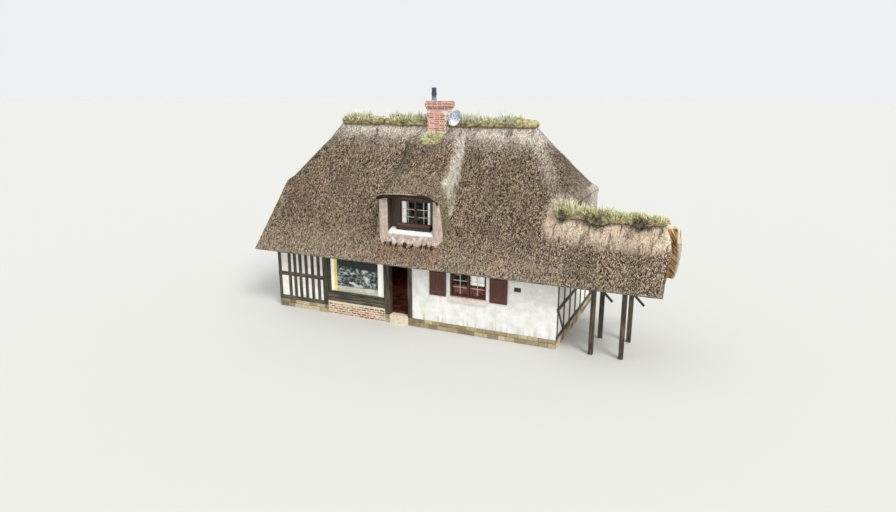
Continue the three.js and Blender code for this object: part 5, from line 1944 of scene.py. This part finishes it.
def plasterSide(name, node, inward, seed, trim=0.0, **options):
    # trim narrows the side towards the window
    low, high = nodeBox(node)
    columns, rows = plaster["columns"], plaster["rows"]
    front = low[1] - plaster["proud"]
    top = dormerUnder(np.linspace(low[0], high[0], columns), np.full(columns, front)) + plaster["tuck"]
    base = nodeBox("dormer_sill")[0][2] - 0.02
    share, t = np.linspace(0, 1, columns), np.linspace(0, 1, rows)[:, None]
    grid = np.zeros((rows, columns, 3))
    grid[..., 2] = base + (top - base) * t
    grid[..., 1] = front - plaster["curl"] * np.sqrt(1 - (2 * share - 1) ** 2)
    grid[..., 0] = low[0] + trim + (high[0] - low[0] - trim) * share
    if inward < 0:
        flareTop = plaster["flareTop"]
        grid[..., 0] += plaster["flare"] * share * way(grid[..., 2], flareTop, flareTop - 1)
    points = grid.reshape(-1, 3)
    points[:, 1] += (uneven(points * (1, 1, 0.35), (0.014, 0.09, seed))
                     + uneven(points, (0.007, 0.035, seed + 1)))
    # the inner return runs back to the window in dark boards, dark partly as painted shade of the recess, the
    # outer one into the thatch
    blocks = [(points, gridFaces(rows, columns))]
    window = nodeBox("dormer_frame")[0][1] + 0.01
    for edge, flip, inner in ((grid[:, 0], -1, inward < 0), (grid[:, -1], 1, inward > 0)):
        back = edge.copy()
        back[:, 1] = window if inner else plaster["returnTo"]
        strip = [edge]
        for t in np.linspace(0, 1, plaster["returnSteps"])[1:]:
            line = edge * (1 - t) + back * t
            line[:, 0] += plaster["clear"] * inward * inner + uneven(line, (0.006, 0.08, seed + 2))
            strip.append(line)
        strip = np.stack(strip, 1).reshape(-1, 3)
        faces = gridFaces(rows, plaster["returnSteps"])[:, ::flip]
        if inner:
            makePiece(name + "_reveal", strip, faces, "greyBoard", "red_wood")
        else:
            blocks.append((strip, faces))
    points, faces, _ = joined(blocks)
    makePiece(name, points, faces, "cheek", "render", **options)


def buildSideBoard():
    low, high = nodeBox("dormer_frame")
    board = Pile()
    board.box((high[0] - 0.002, low[1], low[2]), (high[0] + 0.13, high[1], high[2]), 0.004)
    board.piece("dormer_side_board", "greyBoard", "red_wood")


plasterSide("plaster_cheek_left", "dormer_cheek_left", 1, 101)
plasterSide("plaster_cheek_right", "dormer_cheek_right", -1, 104, 0.1, replaces=["dormer_cheek_right"])
buildSideBoard()


# Worn render of the apron under the dormer's sill, with dark reed that stands up over its lower edge

apron = {"columns": 150, "rows": 16, "longer": 0.08, "spikes": 0.15, "corner": 0.12, "cornerReach": 0.22,
         "lift": 0.13, "thick": 0.03, "endDrop": 0.08}
apronReed = {"clumps": 9, "blades": 34, "height": 0.24, "width": (0.018, 0.034)}


def buildApron():
    low, high = nodeBox("dormer_apron")
    columns, rows = apron["columns"], apron["rows"]
    xs = np.linspace(low[0], high[0] + apron["longer"], columns)
    line = np.stack([xs, xs * 0, xs * 0], -1)
    spikes = 0.5 + uneven(line, (0.3, 0.15, 111), (0.2, 0.05, 112))
    corner = way(np.minimum(xs - xs[0], xs[-1] - xs), apron["cornerReach"], 0)
    lowest = low[1] + 0.005 + apron["spikes"] * spikes ** 1.6 + apron["corner"] * corner ** 2
    back, t = high[1] + 0.01, np.linspace(0, 1, rows)[:, None]
    grid = np.zeros((rows, columns, 3))
    grid[..., 0] = xs
    grid[..., 1] = y = back + (lowest - back) * t
    # the last row goes under the reed
    lift = np.where(t < 1, apron["lift"] * (1 - t) ** 1.5 + apron["thick"], -0.02)
    grid[..., 2] = np.minimum(frontSlope(y) + lift, high[2] + 0.11)
    points = grid.reshape(-1, 3)
    points[:, 2] += uneven(points, (0.012, 0.1, 113), (0.006, 0.04, 114))
    grid[:, [0, -1], 2] -= apron["endDrop"]
    makePiece("apron_render", points, gridFaces(rows, columns)[:, ::-1], "apron", "render",
              replaces=["dormer_apron"])


# the reed's dark colour is partly painted shade under the apron's lower edge
def growApronReed():
    low, high = nodeBox("dormer_apron")
    random = np.random.default_rng(115)
    clumps, each = apronReed["clumps"], apronReed["blades"]
    at = np.linspace(low[0] + 0.3, high[0] - 0.2, clumps) + random.uniform(-0.12, 0.12, clumps)
    count = clumps * each
    away = random.normal(0, 0.035, count)
    tall = np.repeat(random.uniform(0.35, 1.15, clumps), each) * np.exp(-(away / 0.05) ** 2)
    y = low[1] + random.uniform(-0.05, 0.05, count)
    roots = np.stack([np.repeat(at, each) + away, y, frontSlope(y) + 0.02], -1)
    leans = random.normal(0, 0.1, (count, 3)) + (0, 0.5, 0.87)
    lengths = apronReed["height"] * tall * random.uniform(0.5, 1, count)
    widths, bends = random.uniform(*apronReed["width"], count), random.uniform(0, 0.1, count)
    points, faces, tip = bladeMesh(roots, leans, lengths, widths, bends, random)
    makePiece("apron_reed", points, faces, "darkReed", "thatch", smooth=False,
              layers={"tip": tip, "shade": tip * 0})


buildApron()
growApronReed()
print("dormer finished")


# Boards and ironwork of the door; the leaf stands open, so its faces look along x

door = {"faces": (0.759, 0.804), "start": 0.257, "proud": 0.003, "let": 0.004, "boards": 5, "gap": 0.002,
        "strapEnds": 0.32, "strapHalf": 0.022, "strapShort": 0.12, "nailStep": 0.13, "nailHalf": 0.009}


def buildDoor():
    low, high = nodeBox("door_leaf")
    start, end, gap, half = door["start"], high[1], door["gap"], door["strapHalf"]
    boards, iron = Pile(), Pile()
    pitch = (end - start) / door["boards"]
    for face, outward in zip(door["faces"], (-1, 1)):
        near, far = sorted((face + outward * door["proud"], face - outward * door["let"]))
        for i in range(door["boards"]):
            boards.box((near, start + i * pitch + gap, low[2] + gap),
                       (far, start + (i + 1) * pitch - gap, high[2] - gap), 0.0025)
    face, nail = door["faces"][0], door["nailHalf"]
    for z in (low[2] + door["strapEnds"], high[2] - door["strapEnds"]):
        iron.box((face - 0.007, start + 0.01, z - half), (face - 0.002, end - door["strapShort"], z + half),
                 0.002)
        for y in np.arange(start + 0.06, end - 0.15, door["nailStep"]):
            iron.box((face - 0.01, y, z - nail), (face - 0.006, y + 2 * nail, z + nail), 0.0015)
    boards.piece("door_boards", "upright", "timber", body="door")
    iron.piece("door_straps", "blackIron", "iron", body="door")


buildDoor()


# Poles, battens and ties that carry the reed over the shed

shedRoof = {"pole": 0.05, "poles": (7.25, 10.25, 0.56), "poleFoot": 0.12, "poleRough": 0.006,
            "battens": 7, "battenStart": 7.1, "battenEnds": (10.3, 10.1), "battenSize": (0.045, 0.024),
            "ties": (8.16, 9.23), "tieSpan": (0.08, 1.82), "tieLift": 0.33, "tieSize": (0.1, 0.12)}


def buildShedRoof():
    pole = shedRoof["pole"]
    raft, batten, tie = Pile(26), Pile(27), Pile(28)
    ys = np.linspace(eaveInner + shedRoof["poleFoot"], shedRidge, 7)
    heights = np.maximum(frontSlope(ys) - roof["thick"] - pole - 0.012, eaveCut(ys) - pole)
    for x in np.arange(*shedRoof["poles"]):
        for y in (ys, 2 * shedRidge - ys):
            line = np.stack([np.full(len(ys), x), y, heights], -1)
            raft.rod(line + raft.random.normal(0, shedRoof["poleRough"], line.shape), pole, 8)
    for share in np.linspace(0.08, 0.95, shedRoof["battens"]):
        away = (shedRidge - eaveInner) * (1 - share)
        z = max(frontSlope(shedRidge - away) - roof["thick"], eaveCut(shedRidge - away)) - 0.008
        for sign, end in zip((-1, 1), shedRoof["battenEnds"]):
            y = shedRidge + sign * away
            batten.bar((shedRoof["battenStart"], y, z), (end, y, z), *shedRoof["battenSize"],
                       (0, 0.6 * sign, -1), 0.003, 0.004)
    z = nodeBox("shed_plate_front")[0][2] + shedRoof["tieLift"]
    for x in shedRoof["ties"]:
        start, end = ((x, y, z) for y in shedRoof["tieSpan"])
        tie.bar(start, end, *shedRoof["tieSize"], (0, 0, 1), 0.004)
    raft.piece("shed_rafters", "deep", "timber", smooth=True)
    batten.piece("shed_battens", "level", "timber")
    tie.piece("shed_ties", "deep", "timber")


buildShedRoof()


# Rim, ribs, feed arm and receiver of the dish

dish = {"centre": (1.70, 2.75, 8.08), "radius": 0.33, "depth": 0.062, "lift": 22, "turn": -115, "rim": 0.011,
        "ribs": 8, "rib": 0.006, "arm": 0.012, "armReach": 0.36, "receiver": 0.03}


def buildDish():
    centre, radius, depth = np.array(dish["centre"]), dish["radius"], dish["depth"]
    lift, turn = math.radians(dish["lift"]), math.radians(dish["turn"])
    out = np.array([math.cos(lift) * math.cos(turn), math.cos(lift) * math.sin(turn), math.sin(lift)])
    side = unit(np.cross(out, (0, 0, 1)))
    up = np.cross(side, out)
    metal, dark = Pile(), Pile()

    def around(count):
        return [math.cos(a) * side + math.sin(a) * up for a in np.linspace(0, 2 * math.pi, count + 1)]

    metal.rod([centre + out * depth + radius * along for along in around(40)], dish["rim"], 8)
    for along in around(dish["ribs"])[:-1]:
        dark.rod([centre - out * 0.02 + along * 0.05,
                  centre + out * (depth * 0.6 - 0.03) + along * radius * 0.8], dish["rib"], 6)
    foot = centre + out * 0.02 - up * radius * 0.96
    head = centre + out * dish["armReach"] - up * 0.12
    dark.rod([foot, foot + out * 0.12 - up * 0.02, head], dish["arm"], 8)
    metal.rod([head - out * 0.03, head, head + out * 0.01 + up * 0.02, head + up * 0.05],
              dish["receiver"], 12)
    metal.piece("dish_rim", "dish", "dish", smooth=True)
    dark.piece("dish_arm", "blackIron", "iron", smooth=True)


buildDish()
print("details finished")


# Floor and light

studio = {"floor": "#d2d1cc", "reach": 400.0, "sky": "#eef0f1", "skyStrength": 1.0, "sun": 2.1,
          "sunFrom": (0.72, -0.52, 0.95), "sunSize": 24.0,
          "room": 14.0, "roomSize": 1.6, "roomAt": (0.6, 3.0, 2.5)}


def addStudio():
    mesh = bpy.data.meshes.new("studio_floor")
    reach = studio["reach"]
    corners = [(sx * reach, sy * reach, 0) for sx, sy in ((-1, -1), (1, -1), (1, 1), (-1, 1))]
    mesh.from_pydata(corners, [], [(0, 1, 2, 3)])
    mesh.materials.append(Finish("studio_floor").done(studio["floor"], 0.9))
    floor = linked("studio_floor", mesh)
    floor.location.z = -0.002
    world = bpy.data.worlds.new("studio_sky")
    world.use_nodes = True
    background = world.node_tree.nodes["Background"].inputs
    background["Color"].default_value = tint(studio["sky"])
    background["Strength"].default_value = studio["skyStrength"]
    bpy.context.scene.world = world
    lamp = bpy.data.lights.new("studio_sun", "SUN")
    lamp.energy, lamp.angle = studio["sun"], math.radians(studio["sunSize"])
    linked("studio_sun", lamp).rotation_euler = Vector(studio["sunFrom"]).to_track_quat("Z", "Y").to_euler()
    # a little light in the room, seen through the open door
    glow = bpy.data.lights.new("room_glow", "AREA")
    glow.energy, glow.size = studio["room"], studio["roomSize"]
    linked("room_glow", glow).location = np.array(studio["roomAt"]) + houseOrigin
    bpy.context.scene.view_settings.view_transform = "Standard"


addStudio()
